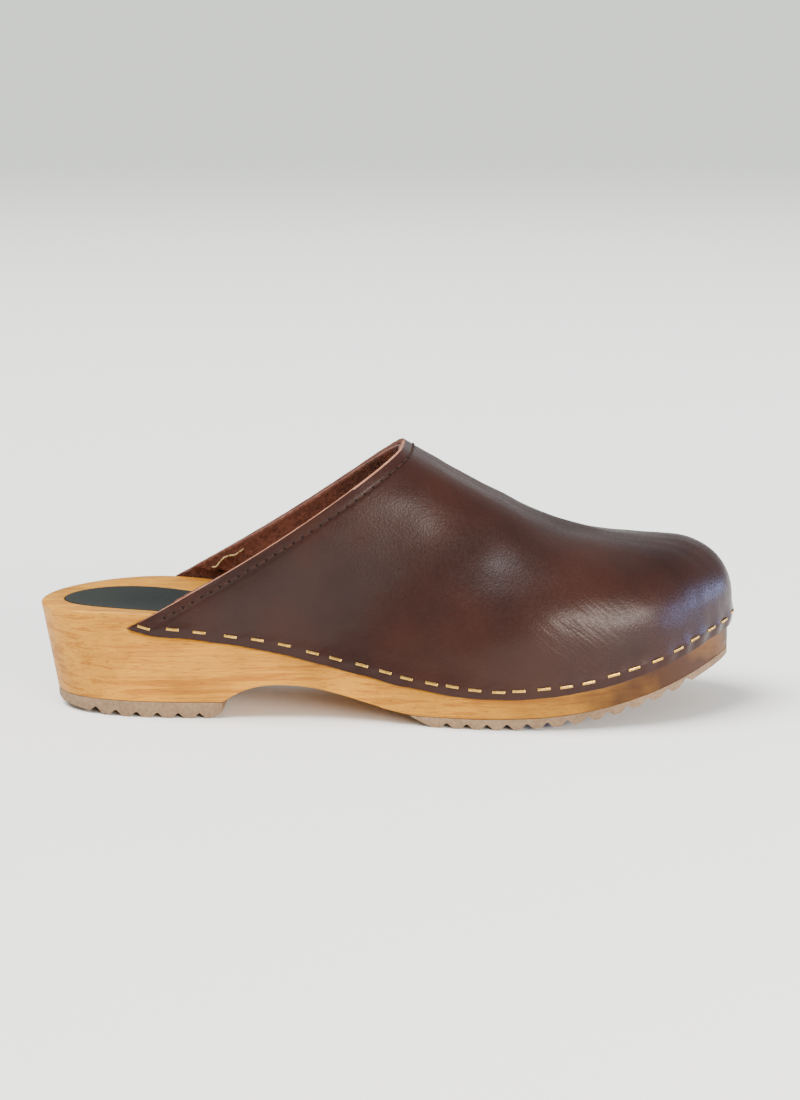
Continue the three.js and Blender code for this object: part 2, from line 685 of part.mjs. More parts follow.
// The upper, or with a margin the room for it in the sole.
function upperShell(outer, inner, margin) {
  const past = 1 + (2.5 * margin) / EDGE_LENGTH; // the topline slopes, so the room ends further back
  const ribs = [...(margin ? [-past] : []), ...steps(-1, 1, 72), ...(margin ? [past] : [])];
  const levels = [0, 0.05, 0.11, 0.18, 0.26, 0.34, 0.41, 0.47, 0.53, 0.59, 0.66, 0.75, 0.87, 1];
  const layer = (height) =>
    ribs.map((w) =>
      levels.map((v) => {
        const point = upperPoint(w, v, height);
        if (v === 0) point.z -= margin;
        return point;
      }),
    );
  return thicken(layer(outer), layer(inner));
}

// A band inside the upper along its topline, from the outer side over the crest to the inner.
function makeStrip() {
  const from = -LEATHER - GAP;
  const start = overRim(1, STRIP_CLEAR);
  const along = steps(-1, 1, 44);
  const layer = (height) =>
    along.map((t) => {
      const sign = t < 0 ? -1 : 1;
      const v = mix(1, start, Math.abs(t));
      const edge = -STRIP_PEEK * smoothstep(Math.abs(t), 0.8, 0.95);
      return [edge, STRIP_WIDTH / 2, STRIP_WIDTH].map((d) => {
        const w = fromTopline(sign, v, d);
        const foot = climb(w, LAP + STRIP_CLEAR);
        return upperPoint(w, Math.max(v, foot), height);
      });
    });
  return thicken(layer(from - STRIP), layer(from));
}

// One thread of the row of stitches, at a height out of the upper's face.
function makeThread(height, start) {
  const along = steps(-1, 1, 40);
  const path = along.map((t) => {
    const sign = t < 0 ? -1 : 1;
    const v = mix(1, start, Math.abs(t));
    const margin = mix(STITCH_MARGIN, STITCH_MARGIN_REAR, smoothstep(Math.abs(t), 0.5, 1));
    return upperPoint(fromTopline(sign, v, margin), v, height);
  });
  const corner = (angle) => new THREE.Vector2(THREAD / 2, 0).rotateAround(new THREE.Vector2(), angle);
  const section = new THREE.Shape(steps(0, 2 * Math.PI, 6).slice(1).map(corner));
  const extrudePath = new THREE.CatmullRomCurve3(path);
  return solidOf(new THREE.ExtrudeGeometry(section, { steps: 70, bevelEnabled: false, extrudePath }));
}

// ---------------------------------------------------------------- materials

const finish = (color, roughness, metalness = 0) =>
  new THREE.MeshStandardMaterial({ color, roughness, metalness });

const WOOD = finish("#d3a873", 0.6);
const UPPER_LEATHER = finish("#4a2f29", 0.42);
const SUEDE = finish("#5f3b2f", 0.95);
const DARK_PAD = finish("#3c4340", 0.7);
const TREAD_RUBBER = finish("#a1897a", 0.85);
const BRASS_WIRE = finish("#c9a45c", 0.35, 0.9);
const BROWN_THREAD = finish("#54362c", 0.9);
const PALE_THREAD = finish("#c4ac86", 0.9);

// ---------------------------------------------------------------- assembly

const clog = new THREE.Group();

function add(name, solid, material) {
  const mesh = new THREE.Mesh(geometryOf(solid), material);
  mesh.name = name;
  clog.add(mesh);
}

const staples = staplePlaces().map(([w, v]) => faceFrame(w, v));
const roomForLegs = wasm.Manifold.union(
  staples.flatMap((frame) => legRoomShape().map((leg) => solidOf(leg.applyMatrix4(frame)))),
);
const nails = nailPlaces();
const roomForNails = wasm.Manifold.union(
  nails.map((place) => solidOf(nailShape(GAP).translate(place.x, place.y, place.z))),
);
const roomForUpper = upperShell(PROUD_TOE + RIM_ROUND, -LEATHER - GAP, GAP);
const roomForPad = padSheet(GAP, -PAD_SINK, HEEL_CUP + BEYOND);

add("wood_sole", makeSole([roomForUpper, roomForLegs, roomForNails, roomForPad]), WOOD);
add("heel_pad", padSheet(0, GAP - PAD_SINK, GAP - PAD_SINK + PAD), DARK_PAD);
add("heel_tread", makeHeelTread(roomForNails), TREAD_RUBBER);
add("forefoot_tread", makeBallTread(roomForNails), TREAD_RUBBER);
add("upper", upperShell(0, -LEATHER, 0).subtract(roomForLegs), UPPER_LEATHER);
add("topline_strip", makeStrip(), SUEDE);
add("topline_needle_thread", makeThread(GAP + THREAD / 2, 0.055), BROWN_THREAD);
const insideStrip = -LEATHER - GAP - STRIP - GAP - THREAD / 2;
add("topline_bobbin_thread", makeThread(insideStrip, overRim(1, BOBBIN_CLEAR)), PALE_THREAD);

staples.forEach((frame, i) => {
  const name = `upper_staple_${String(i + 1).padStart(2, "0")}`;
  add(name, solidOf(stapleShape().applyMatrix4(frame)), BRASS_WIRE);
});
nails.forEach((place, i) => {
  const tread = i < 2 ? "heel" : "forefoot";
  const nail = nailShape(0).translate(place.x, place.y, place.z);
  add(`${tread}_tread_nail_${(i % 2) + 1}`, solidOf(nail), BRASS_WIRE);
});

const bounds = new THREE.Box3().setFromObject(clog);
const middle = bounds.getCenter(new THREE.Vector3());
clog.position.set(-middle.x, -middle.y, -bounds.min.z);

export default clog;
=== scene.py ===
"""A slip-on wooden clog for the right foot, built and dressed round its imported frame.

The shape that the wood and the leather share is one class, Last, which gives the rim of the sole,
the footbed, the underside and the leather's face as formulas in millimetres. Each sub-assembly is
a class that asks Last for its points and turns bmesh grids into its pieces. X runs from the heel
to the toe, +Y is the inner side of the foot and +Z is up.
"""

import logging
import math
from dataclasses import dataclass, field
from enum import Enum
from typing import Callable, Sequence

import bmesh
import bpy
import numpy as np
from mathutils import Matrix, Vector, kdtree


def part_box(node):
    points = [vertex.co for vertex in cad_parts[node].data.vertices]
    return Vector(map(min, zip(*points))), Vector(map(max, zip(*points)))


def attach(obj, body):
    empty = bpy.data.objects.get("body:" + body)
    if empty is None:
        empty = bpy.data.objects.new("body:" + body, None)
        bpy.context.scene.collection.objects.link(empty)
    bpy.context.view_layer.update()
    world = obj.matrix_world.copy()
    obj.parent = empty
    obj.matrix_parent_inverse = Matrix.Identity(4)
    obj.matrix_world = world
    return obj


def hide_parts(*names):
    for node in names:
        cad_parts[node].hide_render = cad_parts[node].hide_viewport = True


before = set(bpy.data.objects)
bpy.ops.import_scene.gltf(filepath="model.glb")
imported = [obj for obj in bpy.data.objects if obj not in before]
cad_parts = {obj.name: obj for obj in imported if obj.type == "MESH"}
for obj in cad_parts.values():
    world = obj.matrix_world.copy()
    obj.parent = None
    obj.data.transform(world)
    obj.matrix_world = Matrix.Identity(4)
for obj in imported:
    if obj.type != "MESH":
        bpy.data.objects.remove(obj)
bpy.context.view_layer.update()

MM = 0.001
LOG = logging.getLogger("clog")

Array = np.ndarray
Amount = np.ndarray | float
Rising = Callable[[Array], Array]
Wave = tuple[float, float, int]
Row = tuple[Array, Array, Array]
Point = tuple[float, float, float]
BMesh = bmesh.types.BMesh
Object = bpy.types.Object
Material = bpy.types.Material
Tree = bpy.types.NodeTree
Socket = bpy.types.NodeSocket
Links = dict[str | int, object]


# ------------------------------------------------------------------ small tools


def mix(low: Amount, high: Amount, share: Amount) -> Amount:
    """The value a share of the way from low to high."""
    return low + (high - low) * share


def ease(x: Amount, low: float, high: float) -> Amount:
    """A smooth step from 0 at low to 1 at high."""
    t = np.clip((x - low) / (high - low), 0, 1)
    return t * t * (3 - 2 * t)


def hump(x: Amount, centre: Amount, width: Amount) -> Amount:
    """A bell of height 1 at its centre."""
    return np.exp(-(((x - centre) / width) ** 2))


def bowl(dx: Amount, dy: Amount) -> Amount:
    """A bowl of depth 1 at its centre that runs out smoothly at its rim."""
    return np.maximum(0, 1 - dx**2 - dy**2) ** 2


def unit(vectors: Array) -> Array:
    """Vectors of length 1 in the same directions."""
    return vectors / np.maximum(np.linalg.norm(vectors, axis=-1, keepdims=True), 1e-12)


def dot(a: Array, b: Array) -> Array:
    """Dot products of two arrays of vectors, kept as a last axis of size 1."""
    return (a * b).sum(-1, keepdims=True)


def reach(rising: Rising, target: Amount, low: float, high: float) -> Array:
    """Finds where a rising function reaches a target.

    Args:
        rising: the function, which takes and gives arrays.
        target: the value or values to reach.
        low: the least answer.
        high: the greatest answer.

    Returns:
        The place or places where the function has the target's value.
    """
    floor = np.zeros_like(np.asarray(target, float)) + low
    roof = np.zeros_like(floor) + high
    for _ in range(36):
        middle = (floor + roof) / 2
        below = rising(middle) < target
        floor = np.where(below, middle, floor)
        roof = np.where(below, roof, middle)
    return (floor + roof) / 2


def ripple(points: Array, wavelength: float, seed: int) -> Array:
    """A gentle uneven field between about -1 and 1, the same each run.

    Args:
        points: positions in millimetres.
        wavelength: the usual distance from crest to crest, in millimetres.
        seed: which field.

    Returns:
        One number for each point.
    """
    chance = np.random.default_rng(seed)
    total = np.zeros(points.shape[:-1])
    for _ in range(7):
        way = unit(chance.normal(size=3)) * chance.uniform(0.7, 1.5) * 2 * math.pi / wavelength
        total += np.sin(points @ way + chance.uniform(0, 2 * math.pi))
    return total / 3.5


def ripples(points: Array, *waves: Wave) -> Array:
    """Uneven fields added up, each with its height and wavelength in millimetres and its seed."""
    return sum(height * ripple(points, size, seed) for height, size, seed in waves)


class Curve:
    """A natural cubic spline through points, worked out on whole arrays."""

    def __init__(self, knots: Sequence[float], values: Sequence[float]) -> None:
        """Fits the spline.

        Args:
            knots: where the points lie, rising.
            values: the spline's value at each.
        """
        self.knots = np.array(knots, float)
        self.values = np.array(values, float)
        gap = np.diff(self.knots)
        slope = np.diff(self.values) / gap
        system = np.eye(len(knots))
        turn = np.zeros(len(knots))
        for i in range(1, len(knots) - 1):
            system[i, i - 1 : i + 2] = gap[i - 1], 2 * (gap[i - 1] + gap[i]), gap[i]
            turn[i] = 6 * (slope[i] - slope[i - 1])
        self.bend = np.linalg.solve(system, turn)

    def __call__(self, x: Amount) -> Array:
        """The spline's value at x, carried on past its ends."""
        i = np.clip(np.searchsorted(self.knots, x) - 1, 0, len(self.knots) - 2)
        step = self.knots[i + 1] - self.knots[i]
        a = (self.knots[i + 1] - x) / step
        b = 1 - a
        bow = (a**3 - a) * self.bend[i] + (b**3 - b) * self.bend[i + 1]
        return a * self.values[i] + b * self.values[i + 1] + bow * step**2 / 6


# ------------------------------------------------------------------ the shape of the shoe


@dataclass
class Last:
    """The shape that the sole, the pad, the treads and the leather share, in millimetres.

    Stations run along the sole from the back of the heel. Round the rim u is 0 at the toe's tip,
    1 at the heel's back by way of the inner side and -1 there by way of the outer side. On the
    leather w is -1 and 1 at the rear tips and 0 at the toe; v climbs from its foot to its crest.
    """

    length: float = 262.6
    heel_half: float = 32.5
    waist_outer: float = 32.5
    waist_inner: float = 28.5
    ball_outer: float = 46.0
    ball_inner: float = 45.0
    toe_offset: float = 9.0
    heel_rim: float = 40.5
    ball_rim: float = 21.0
    toe_rim: float = 38.7
    inner_rise: float = 1.8
    arch: float = 13.0
    toe_spring: float = 19.2
    breast: float = 72.0
    forepart: float = 145.0
    overlap: float = 2.0
    heel_tread: float = 5.8
    ball_tread: float = 3.6
    tip_tread: float = 2.3
    gap: float = 0.3
    side_taper: float = 2.5
    back_taper: float = 7.2
    heel_cup: float = 4.5
    ball_cup: float = 3.6
    arch_cup: float = 1.6
    throat_height: float = 100.5
    toe_box: float = 64.2
    throat: float = 138.5
    upper_tip: float = 37.0
    lap: float = 8.5
    toe_lap: float = 7.8
    tip_rise: float = 2.6
    proud: float = 0.8
    proud_toe: float = 1.4
    side_bulge: float = 1.5
    toe_bulge: float = 1.2
    toe_square: float = 2.6
    instep_square: float = 4.0
    sag: float = 0.045
    fan: float = 0.16
    leather: float = 2.2
    shift: Array = field(default_factory=lambda: np.zeros(3))

    def __post_init__(self) -> None:
        """Fits the outline, the heights and the crest."""
        half, wide_in, wide_out = self.heel_half, self.ball_inner, self.ball_outer
        waist_in, waist_out = self.waist_inner, self.waist_outer
        in_x = (1, 0.964, 0.873, 0.752, 0.621, 0.49, 0.368, 0.246, 0.13, 0.035, 0)
        in_y = [self.toe_offset, 0.7 * wide_in, 0.955 * wide_in, wide_in, 0.865 * wide_in]
        in_y += [mix(waist_in, wide_in, 0.15), waist_in, mix(waist_in, half, 0.65)]
        in_y += [0.97 * half, 0.65 * half, 0]
        out_x = (1, 0.965, 0.892, 0.77, 0.64, 0.51, 0.38, 0.254, 0.13, 0.035, 0)
        out_y = [self.toe_offset, -0.27 * wide_out, -0.7 * wide_out, -0.965 * wide_out]
        out_y += [-0.985 * wide_out, -mix(waist_out, wide_out, 0.45), -waist_out, -half]
        out_y += [-0.97 * half, -0.65 * half, 0]
        inner, outer = list(zip(in_x, in_y)), list(zip(out_x, out_y))
        spans = len(inner) - 1
        loop = range(-2 * spans, 2 * spans + 1)
        turns = [k % (2 * spans) for k in loop]
        points = [inner[t] if t <= spans else outer[2 * spans - t] for t in turns]
        self.plan_x = Curve(loop, [self.length * p[0] for p in points])
        self.plan_y = Curve(loop, [p[1] for p in points])
        self.inner_at, _ = self._evenly(spans, 1)
        self.outer_at, outer_length = self._evenly(spans, -1)

        rim, ball, toe = self.heel_rim, self.ball_rim, self.toe_rim
        shares = np.array([-0.1, 0, 0.17, 0.31, 0.46, 0.635, 0.77, 0.9, 1, 1.05])
        heights = [rim - 2, rim - 1, rim, mix(ball, rim, 0.8), mix(ball, rim, 0.37), ball]
        heights += [mix(ball, toe, t) for t in (0.1, 0.53, 1, 1.15)]
        self.rim_line = Curve(shares * self.length, heights)

        self.ball_floor = self.ball_tread + self.gap
        self.tip_floor = tip = self.toe_spring + self.tip_tread + self.gap
        stations = [mix(self.breast, self.forepart, t) for t in (0, 0.1, 0.29, 0.53, 0.78, 1)]
        stations += list(np.linspace(self.forepart, self.length, 6)[1:])
        lows = [self.heel_tread + self.gap, mix(self.heel_tread, self.arch, 0.62), self.arch]
        lows += [mix(self.ball_floor, self.arch, t) for t in (0.83, 0.33, 0)]
        lows += [mix(self.ball_floor, tip, t) for t in (0, 0.055, 0.225, 0.56, 1)]
        self.arch_line = Curve(stations, lows)

        self.tread_start = self.forepart - self.overlap
        self.pole = 0.9 * self.length
        ridge = [mix(self.throat, self.pole, t) for t in (0, 0.24, 0.48, 0.72, 1, 1.2)]
        falls = [mix(self.toe_box, self.throat_height, t) for t in (1, 0.63, 0.31, 0.095, 0, 0)]
        self.crest = Curve(ridge, falls)
        self.tip_inner = float(reach(lambda u: -self.rim(u)[0], -self.upper_tip, 0.4, 1))
        self.tip_outer = float(reach(lambda u: -self.rim(-u)[0], -self.upper_tip, 0.4, 1))
        self.edge_length = self.tip_outer * outer_length

    def _evenly(self, spans: int, side: int) -> tuple[Curve, float]:
        """Measures one side of the outline.

        Args:
            spans: how many spans the side has.
            side: 1 for the inner side, -1 for the outer.

        Returns:
            The outline's parameter at a share of the side's length, and that length.
        """
        ks = side * np.linspace(0, spans, 8 * spans + 1)
        steps = np.hypot(np.diff(self.plan_x(ks)), np.diff(self.plan_y(ks)))
        lengths = np.concatenate([[0], np.cumsum(steps)])
        return Curve(lengths / lengths[-1], ks), float(lengths[-1])

    def rim(self, u: Amount, out: Amount = 0.0) -> tuple[Array, Array, Array]:
        """The sole's rim in plan.

        Args:
            u: the place round the rim.
            out: how far outside the rim, square to it.

        Returns:
            The station, the distance across and the rim's outward slope along the sole.
        """
        k = np.where(np.asarray(u) < 0, self.outer_at(np.abs(u)), self.inner_at(np.abs(u)))
        run_x = self.plan_x(k + 0.01) - self.plan_x(k - 0.01)
        run_y = self.plan_y(k + 0.01) - self.plan_y(k - 0.01)
        size = np.hypot(run_x, run_y)
        x = self.plan_x(k) + out * run_y / size
        y = self.plan_y(k) - out * run_x / size
        return x, y, run_y / size

    def rim_height(self, x: Array, y: Array) -> Array:
        """The height of the rim, which is higher on the inner side of the waist."""
        middle = bowl((x - 0.27 * self.length) / (0.3 * self.length), 0)
        return self.rim_line(x) + self.inner_rise * middle * ease(y, -5, self.waist_inner)

    def footbed(self, x: Array, y: Array) -> Array:
        """The height of the top of the wood, with its three hollows."""
        size = self.length
        heel = bowl((x - 0.19 * size) / (0.19 * size), y / self.heel_half)
        waist = bowl((x - 0.45 * size) / (0.28 * size), y / self.waist_inner)
        ball = bowl((x - 0.72 * size) / (0.26 * size), (y - 2) / self.ball_outer)
        cups = self.heel_cup * heel + self.arch_cup * waist + self.ball_cup * ball
        return self.rim_height(x, y) - cups

    def underside(self, x: Array) -> Array:
        """The height of the wood's underside."""
        front = np.maximum(self.ball_floor, self.arch_line(x))
        return np.where(x < self.breast, self.heel_tread + self.gap, front)

    def lap_at(self, w: Array) -> Array:
        """How far the leather reaches below the rim."""
        return mix(self.toe_lap, self.lap, ease(np.abs(w), 0, 0.35))

    def tip_lift(self, w: Array) -> Array:
        """How far the rear tips lie above the rest of the leather's edge."""
        return self.tip_rise * ease(np.abs(w), 0.955, 1.01)

    def proud_at(self, w: Array) -> Array:
        """How far the leather's foot stands outside the rim."""
        return mix(self.proud_toe, self.proud, ease(np.abs(w), 0, 0.4))

    def wall(self, u: Array, z: Array, inset: Amount = 0.0) -> tuple[Array, Array]:
        """The sole's outline at a height.

        Args:
            u: the place round the rim.
            z: the height.
            inset: how far inside the wall.

        Returns:
            The station and the distance across.
        """
        x, y, back = self.rim(u)
        rear = mix(self.side_taper, self.back_taper, np.maximum(0, -back))
        taper = np.where(x < self.length / 2, rear, self.side_taper * ease(np.abs(u), 0, 0.25))
        fall = np.clip(1 - z / self.rim_height(x, y), 0, 1)
        return self.rim(u, -taper * fall - inset)[:2]

    def spine(self, u: Array) -> tuple[Array, Array]:
        """The line down the middle of the sole that its sections run in to."""
        x = self.length * mix(0.83, 0.13, ease(np.abs(u), 0.1, 0.9))
        return x, self.toe_offset * 0.6 * ease(x, self.length * 0.5, self.length)

    def face(self, w: Array, v: Array) -> Array:
        """The outer face of the leather, as points."""
        w, v = np.broadcast_arrays(np.asarray(w, float), np.asarray(v, float))
        a = np.abs(w)
        u = w * np.where(w < 0, self.tip_outer, self.tip_inner)
        proud = self.proud_at(w)
        base_x, base_y, _ = self.rim(u, proud)
        foot = self.rim_height(base_x, base_y) - self.lap_at(w) + self.tip_lift(w)
        back = np.maximum(0, (a - self.fan) / (1 - self.fan)) ** 1.3
        top_x = mix(self.pole, self.throat, back)
        top_y = self.toe_offset * 0.8 * (1 - back)

        square = mix(self.toe_square, self.instep_square, ease(a, 0.1, 0.8))
        across = np.maximum(0, np.cos(v * math.pi / 2))
        up = np.sin(v * math.pi / 2)
        out = (across**square + up**square) ** (-1 / square)
        rise = out * up
        inward = 1 - out * across

        lean = rise + self.sag * np.sin(math.pi * rise)
        along = mix(inward, lean, ease(a, 0.1, 0.75))
        bulge = mix(self.toe_bulge, self.side_bulge, ease(a, 0, 0.35)) * (1 - ease(a, 0.5, 0.95))
        swell = np.sin(math.pi * np.minimum(1, 1.25 * v)) ** 1.5
        edge_x, edge_y, _ = self.rim(u, proud + bulge * swell)
        x = mix(edge_x, top_x, along)
        y = mix(edge_y, top_y, inward)
        return np.stack([x, y, mix(foot, self.crest(top_x), rise)], -1)

    def facing(self, w: Array, v: Array) -> Array:
        """The outward direction of the leather's face, level at its foot."""
        w, v = np.broadcast_arrays(np.asarray(w, float), np.asarray(v, float))
        at = np.clip(v, 0.01, 0.985)

        def one(side: Array) -> Array:
            """The outward direction on one side."""
            across = self.face(side + 0.004, at) - self.face(side - 0.004, at)
            up = self.face(side, at + 0.008) - self.face(side, at - 0.008)
            normal = unit(np.cross(across, up))
            normal[..., 2] *= ease(v, 0, 0.1)
            return unit(normal)

        crest = (v > 0.985)[..., None]
        return unit(np.where(crest, one(w) + one(-w), one(w)))

    def off_topline(self, sign: Array, v: Array, points: Array) -> Array:
        """How far points are from the topline at level v, square to it."""
        step = points - self.face(sign, v)
        ahead, behind = np.minimum(1, v + 0.01), np.maximum(0, v - 0.01)
        run = unit(self.face(sign, ahead) - self.face(sign, behind))
        return np.linalg.norm(step - run * dot(step, run), axis=-1)

    def from_topline(self, sign: Array, v: Array, distance: Amount) -> Array:
        """The rib that lies a distance in from the topline, or beyond it if negative."""
        distance = np.zeros_like(v) + distance
        inwards = np.where(distance < 0, -1, 1)

        def away(a: Array) -> Array:
            """How far the rib a share in is from the topline."""
            return self.off_topline(sign, v, self.face(sign * (1 - inwards * a), v))

        return sign * (1 - inwards * reach(away, np.abs(distance), 0, 0.35))

    def over_rim(self, sign: float, height: float) -> float:
        """The level at which the topline passes a height above the rim of the sole."""

        def above(v: Array) -> Array:
            """How far the topline at a level is above the rim."""
            point = self.face(sign, v)
            return point[..., 2] - self.rim_height(point[..., 0], point[..., 1])

        return float(reach(above, height, 0, 1))

    def settle(self, low: Vector) -> None:
        """Lines the shape up with the frame.

        Args:
            low: the lowest corner of the frame's upper, in metres.
        """
        w, v = np.meshgrid(np.linspace(-1, 1, 73), np.linspace(0, 1, 60), indexing="ij")
        points = self.face(w, v)
        least = points.reshape(-1, 3).min(0)
        self.shift = np.array([low.x / MM - least[0], low.y / MM - least[1], 0.0])

    def placed(self, points: Array) -> Array:
        """Points of this shape as metres in the frame."""
        return (points + self.shift) * MM


# ------------------------------------------------------------------ meshes


def grid_mesh(points: Array) -> BMesh:
    """Bends a flat grid into a surface.

    Args:
        points: rows and columns of points, in metres.

    Returns:
        A bmesh whose coinciding points are merged.
    """
    rows, columns = points.shape[:2]
    bm = bmesh.new()
    bmesh.ops.create_grid(bm, x_segments=columns - 1, y_segments=rows - 1, size=1)
    for vert, place in zip(bm.verts, points.reshape(-1, 3), strict=True):
        vert.co = place
    bmesh.ops.remove_doubles(bm, verts=bm.verts, dist=1e-6)
    bmesh.ops.dissolve_degenerate(bm, edges=bm.edges, dist=1e-7)
    bmesh.ops.recalc_face_normals(bm, faces=bm.faces)
    return bm


def open_sheet(points: Array) -> BMesh:
    """A bent grid like grid_mesh's, whose highest face looks up."""
    bm = grid_mesh(points)
    top = max(bm.faces, key=lambda f: f.calc_center_median().z)
    if top.normal.z < 0:
        bmesh.ops.reverse_faces(bm, faces=bm.faces)
    return bm


def tree_of(points: Array) -> kdtree.KDTree:
    """A search tree of points."""
    tree = kdtree.KDTree(len(points))
    for i, point in enumerate(points):
        tree.insert(point, i)
    tree.balance()
    return tree


def mesh_of(name: str, bm: BMesh) -> bpy.types.Mesh:
    """The bmesh as a mesh, which uses it up."""
    mesh = bpy.data.meshes.new(name)
    bm.to_mesh(mesh)
    bm.free()
    return mesh


def add_object(name: str, data: bpy.types.ID) -> Object:
    """An object in the scene that shows this data."""
    obj = bpy.data.objects.new(name, data)
    bpy.context.scene.collection.objects.link(obj)
    return obj


def thicken(piece: Object, thickness: float, **settings: float) -> None:
    """Gives a sheet its thickness in millimetres, on its inner side."""
    wall = piece.modifiers.new("wall", "SOLIDIFY")
    wall.thickness = thickness * MM
    wall.offset = -1
    for key, value in settings.items():
        setattr(wall, key, value)


def round_edges(piece: Object, width: float, segments: int, angle: float) -> None:
    """Rounds a piece's edges, by a width in millimetres, where they turn by more than an angle."""
    edge = piece.modifiers.new("edge", "BEVEL")
    edge.width = width * MM
    edge.segments = segments
    edge.limit_method = "ANGLE"
    edge.angle_limit = math.radians(angle)


def soften(bm: BMesh, radius: float, angle: float = 35, segments: int = 2) -> None:
    """Rounds the sharp edges of a closed bmesh.

    Args:
        bm: the bmesh to change.
        radius: how far the rounding reaches, in metres.
        angle: edges sharper than this are rounded, in degrees.
        segments: faces across each rounding.
    """
    sharp = [e for e in bm.edges if e.is_manifold and e.calc_face_angle(0) > math.radians(angle)]
    bmesh.ops.bevel(
        bm,
        geom=sharp,
        offset=radius,
        offset_type="OFFSET",
        segments=segments,
        profile=0.5,
        affect="EDGES",
        clamp_overlap=True,
        material=-1,
    )


def new_piece(
    name: str,
    bm: BMesh,
    materials: Sequence[Material],
    replaces: Sequence[str] = (),
) -> Object:
    """Turns a bmesh into a piece of the clog.

    Args:
        name: the piece's name.
        bm: its mesh, which is used up.
        materials: its materials, in slot order.
        replaces: the frame's nodes that it stands for.

    Returns:
        The finished object.
    """
    mesh = mesh_of(name, bm)
    mesh.polygons.foreach_set("use_smooth", [True] * len(mesh.polygons))
    for material in materials:
        mesh.materials.append(material)
    obj = add_object(name, mesh)
    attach(obj, "root")
    if replaces:
        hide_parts(*replaces)
    LOG.info("%s: %d faces", name, len(mesh.polygons))
    return obj


def tube(centre: Array, out: Array, radius: Array) -> BMesh:
    """A closed tube along a path.

    Args:
        centre: the path's points, in metres.
        out: the direction to call up at each point.
        radius: the tube's radius at each point, in metres.

    Returns:
        The tube's bmesh, with pointed ends.
    """
    along = unit(np.gradient(centre, axis=0))
    side = unit(np.cross(out, along))
    up = np.cross(along, side)
    angle = np.linspace(0, 2 * math.pi, 8)[:, None]
    radius = radius.copy()
    radius[[0, -1]] = 0
    ring = np.cos(angle) * side[:, None] + np.sin(angle) * up[:, None]
    return grid_mesh(centre[:, None] + radius[:, None, None] * ring)


# ------------------------------------------------------------------ finishes


def linear(code: str) -> tuple[float, float, float, float]:
    """An sRGB hex colour as linear red, green, blue and alpha."""
    parts = [int(code[i : i + 2], 16) / 255 for i in (1, 3, 5)]
    r, g, b = [c / 12.92 if c <= 0.04045 else ((c + 0.055) / 1.055) ** 2.4 for c in parts]
    return r, g, b, 1.0


def add(tree: Tree, kind: str, inputs: Links | None = None, **settings) -> bpy.types.Node:
    """Adds a shader node.

    Args:
        tree: the material's node tree.
        kind: the node's type, without its prefix.
        inputs: for each input, a value or the output that feeds it.
        settings: the node's own properties.

    Returns:
        The node.
    """
    made = tree.nodes.new("ShaderNode" + kind)
    for key, value in settings.items():
        setattr(made, key, value)
    for key, value in (inputs or {}).items():
        if isinstance(value, Socket):
            tree.links.new(value, made.inputs[key])
        else:
            made.inputs[key].default_value = value
    return made


def noise(tree: Tree, place: Socket, size_mm: float, detail: float, rough: float = 0.5) -> Socket:
    """Noise whose features are about this size."""
    inputs = {"Vector": place, "Scale": 1 / (size_mm * MM), "Detail": detail, "Roughness": rough}
    return add(tree, "TexNoise", inputs).outputs["Fac"]


def streaks(tree: Tree, place: Socket, sizes: Sequence[float], detail: float, **more: float) -> Socket:
    """Noise drawn out to these sizes in millimetres along x, y and z."""
    scale = tuple(1 / (size * MM) for size in sizes)
    drawn = add(tree, "Mapping", {"Vector": place, "Scale": scale}).outputs[0]
    return add(tree, "TexNoise", {"Vector": drawn, "Scale": 1, "Detail": detail, **more}).outputs["Fac"]


def turned(tree: Tree, place: Socket, degrees: float) -> Socket:
    """Coordinates turned about the line across the shoe."""
    return add(tree, "Mapping", {"Vector": place, "Rotation": (0, math.radians(degrees), 0)}).outputs[0]


def remap(tree: Tree, value: Socket, low: float, high: float, start: float, stop: float) -> Socket:
    """A value carried from low..high to start..stop and held there."""
    return add(tree, "MapRange", {"Value": value, 1: low, 2: high, 3: start, 4: stop}).outputs[0]


def blend(tree: Tree, share: Socket, first: Socket | str, second: str) -> Socket:
    """A colour, from a node or as sRGB hex, that turns into another by a share."""
    first = linear(first) if isinstance(first, str) else first
    return add(tree, "Mix", {0: share, 6: first, 7: linear(second)}, data_type="RGBA").outputs[2]


def ramp(tree: Tree, value: Socket, *stops: tuple[float, str]) -> Socket:
    """A colour that follows a value through stops of place and colour."""
    made = add(tree, "ValToRGB", {"Fac": value})
    elements = made.color_ramp.elements
    while len(elements) < len(stops):
        elements.new(0.5)
    for element, (place, colour) in zip(elements, stops):
        element.position = place
        element.color = linear(colour)
    return made.outputs[0]


def relief(
    tree: Tree, height: Socket, strength: float | Socket, depth_mm: float, **more: Socket
) -> Socket:
    """A fine relief in the surface, this deep; Normal, if given, is the relief that it lies on."""
    inputs = {"Height": height, "Strength": strength, "Distance": depth_mm * MM, **more}
    return add(tree, "Bump", inputs).outputs[0]


def start_material(name: str) -> tuple[Material, Tree, Socket]:
    """Starts a material and gives it, its tree and the object's coordinates."""
    material = bpy.data.materials.new(name)
    material.use_nodes = True
    tree = material.node_tree
    return material, tree, add(tree, "TexCoord").outputs["Object"]


def shade(tree: Tree, links: dict[str, Socket], **values: float) -> None:
    """Feeds the material's shader.

    Args:
        tree: the material's node tree.
        links: the outputs that feed its inputs.
        values: constant inputs, with underscores for spaces.
    """
    shader = tree.nodes["Principled BSDF"]
    for name, source in links.items():
        tree.links.new(source, shader.inputs[name])
    for name, value in values.items():
        shader.inputs[name.replace("_", " ")].default_value = value


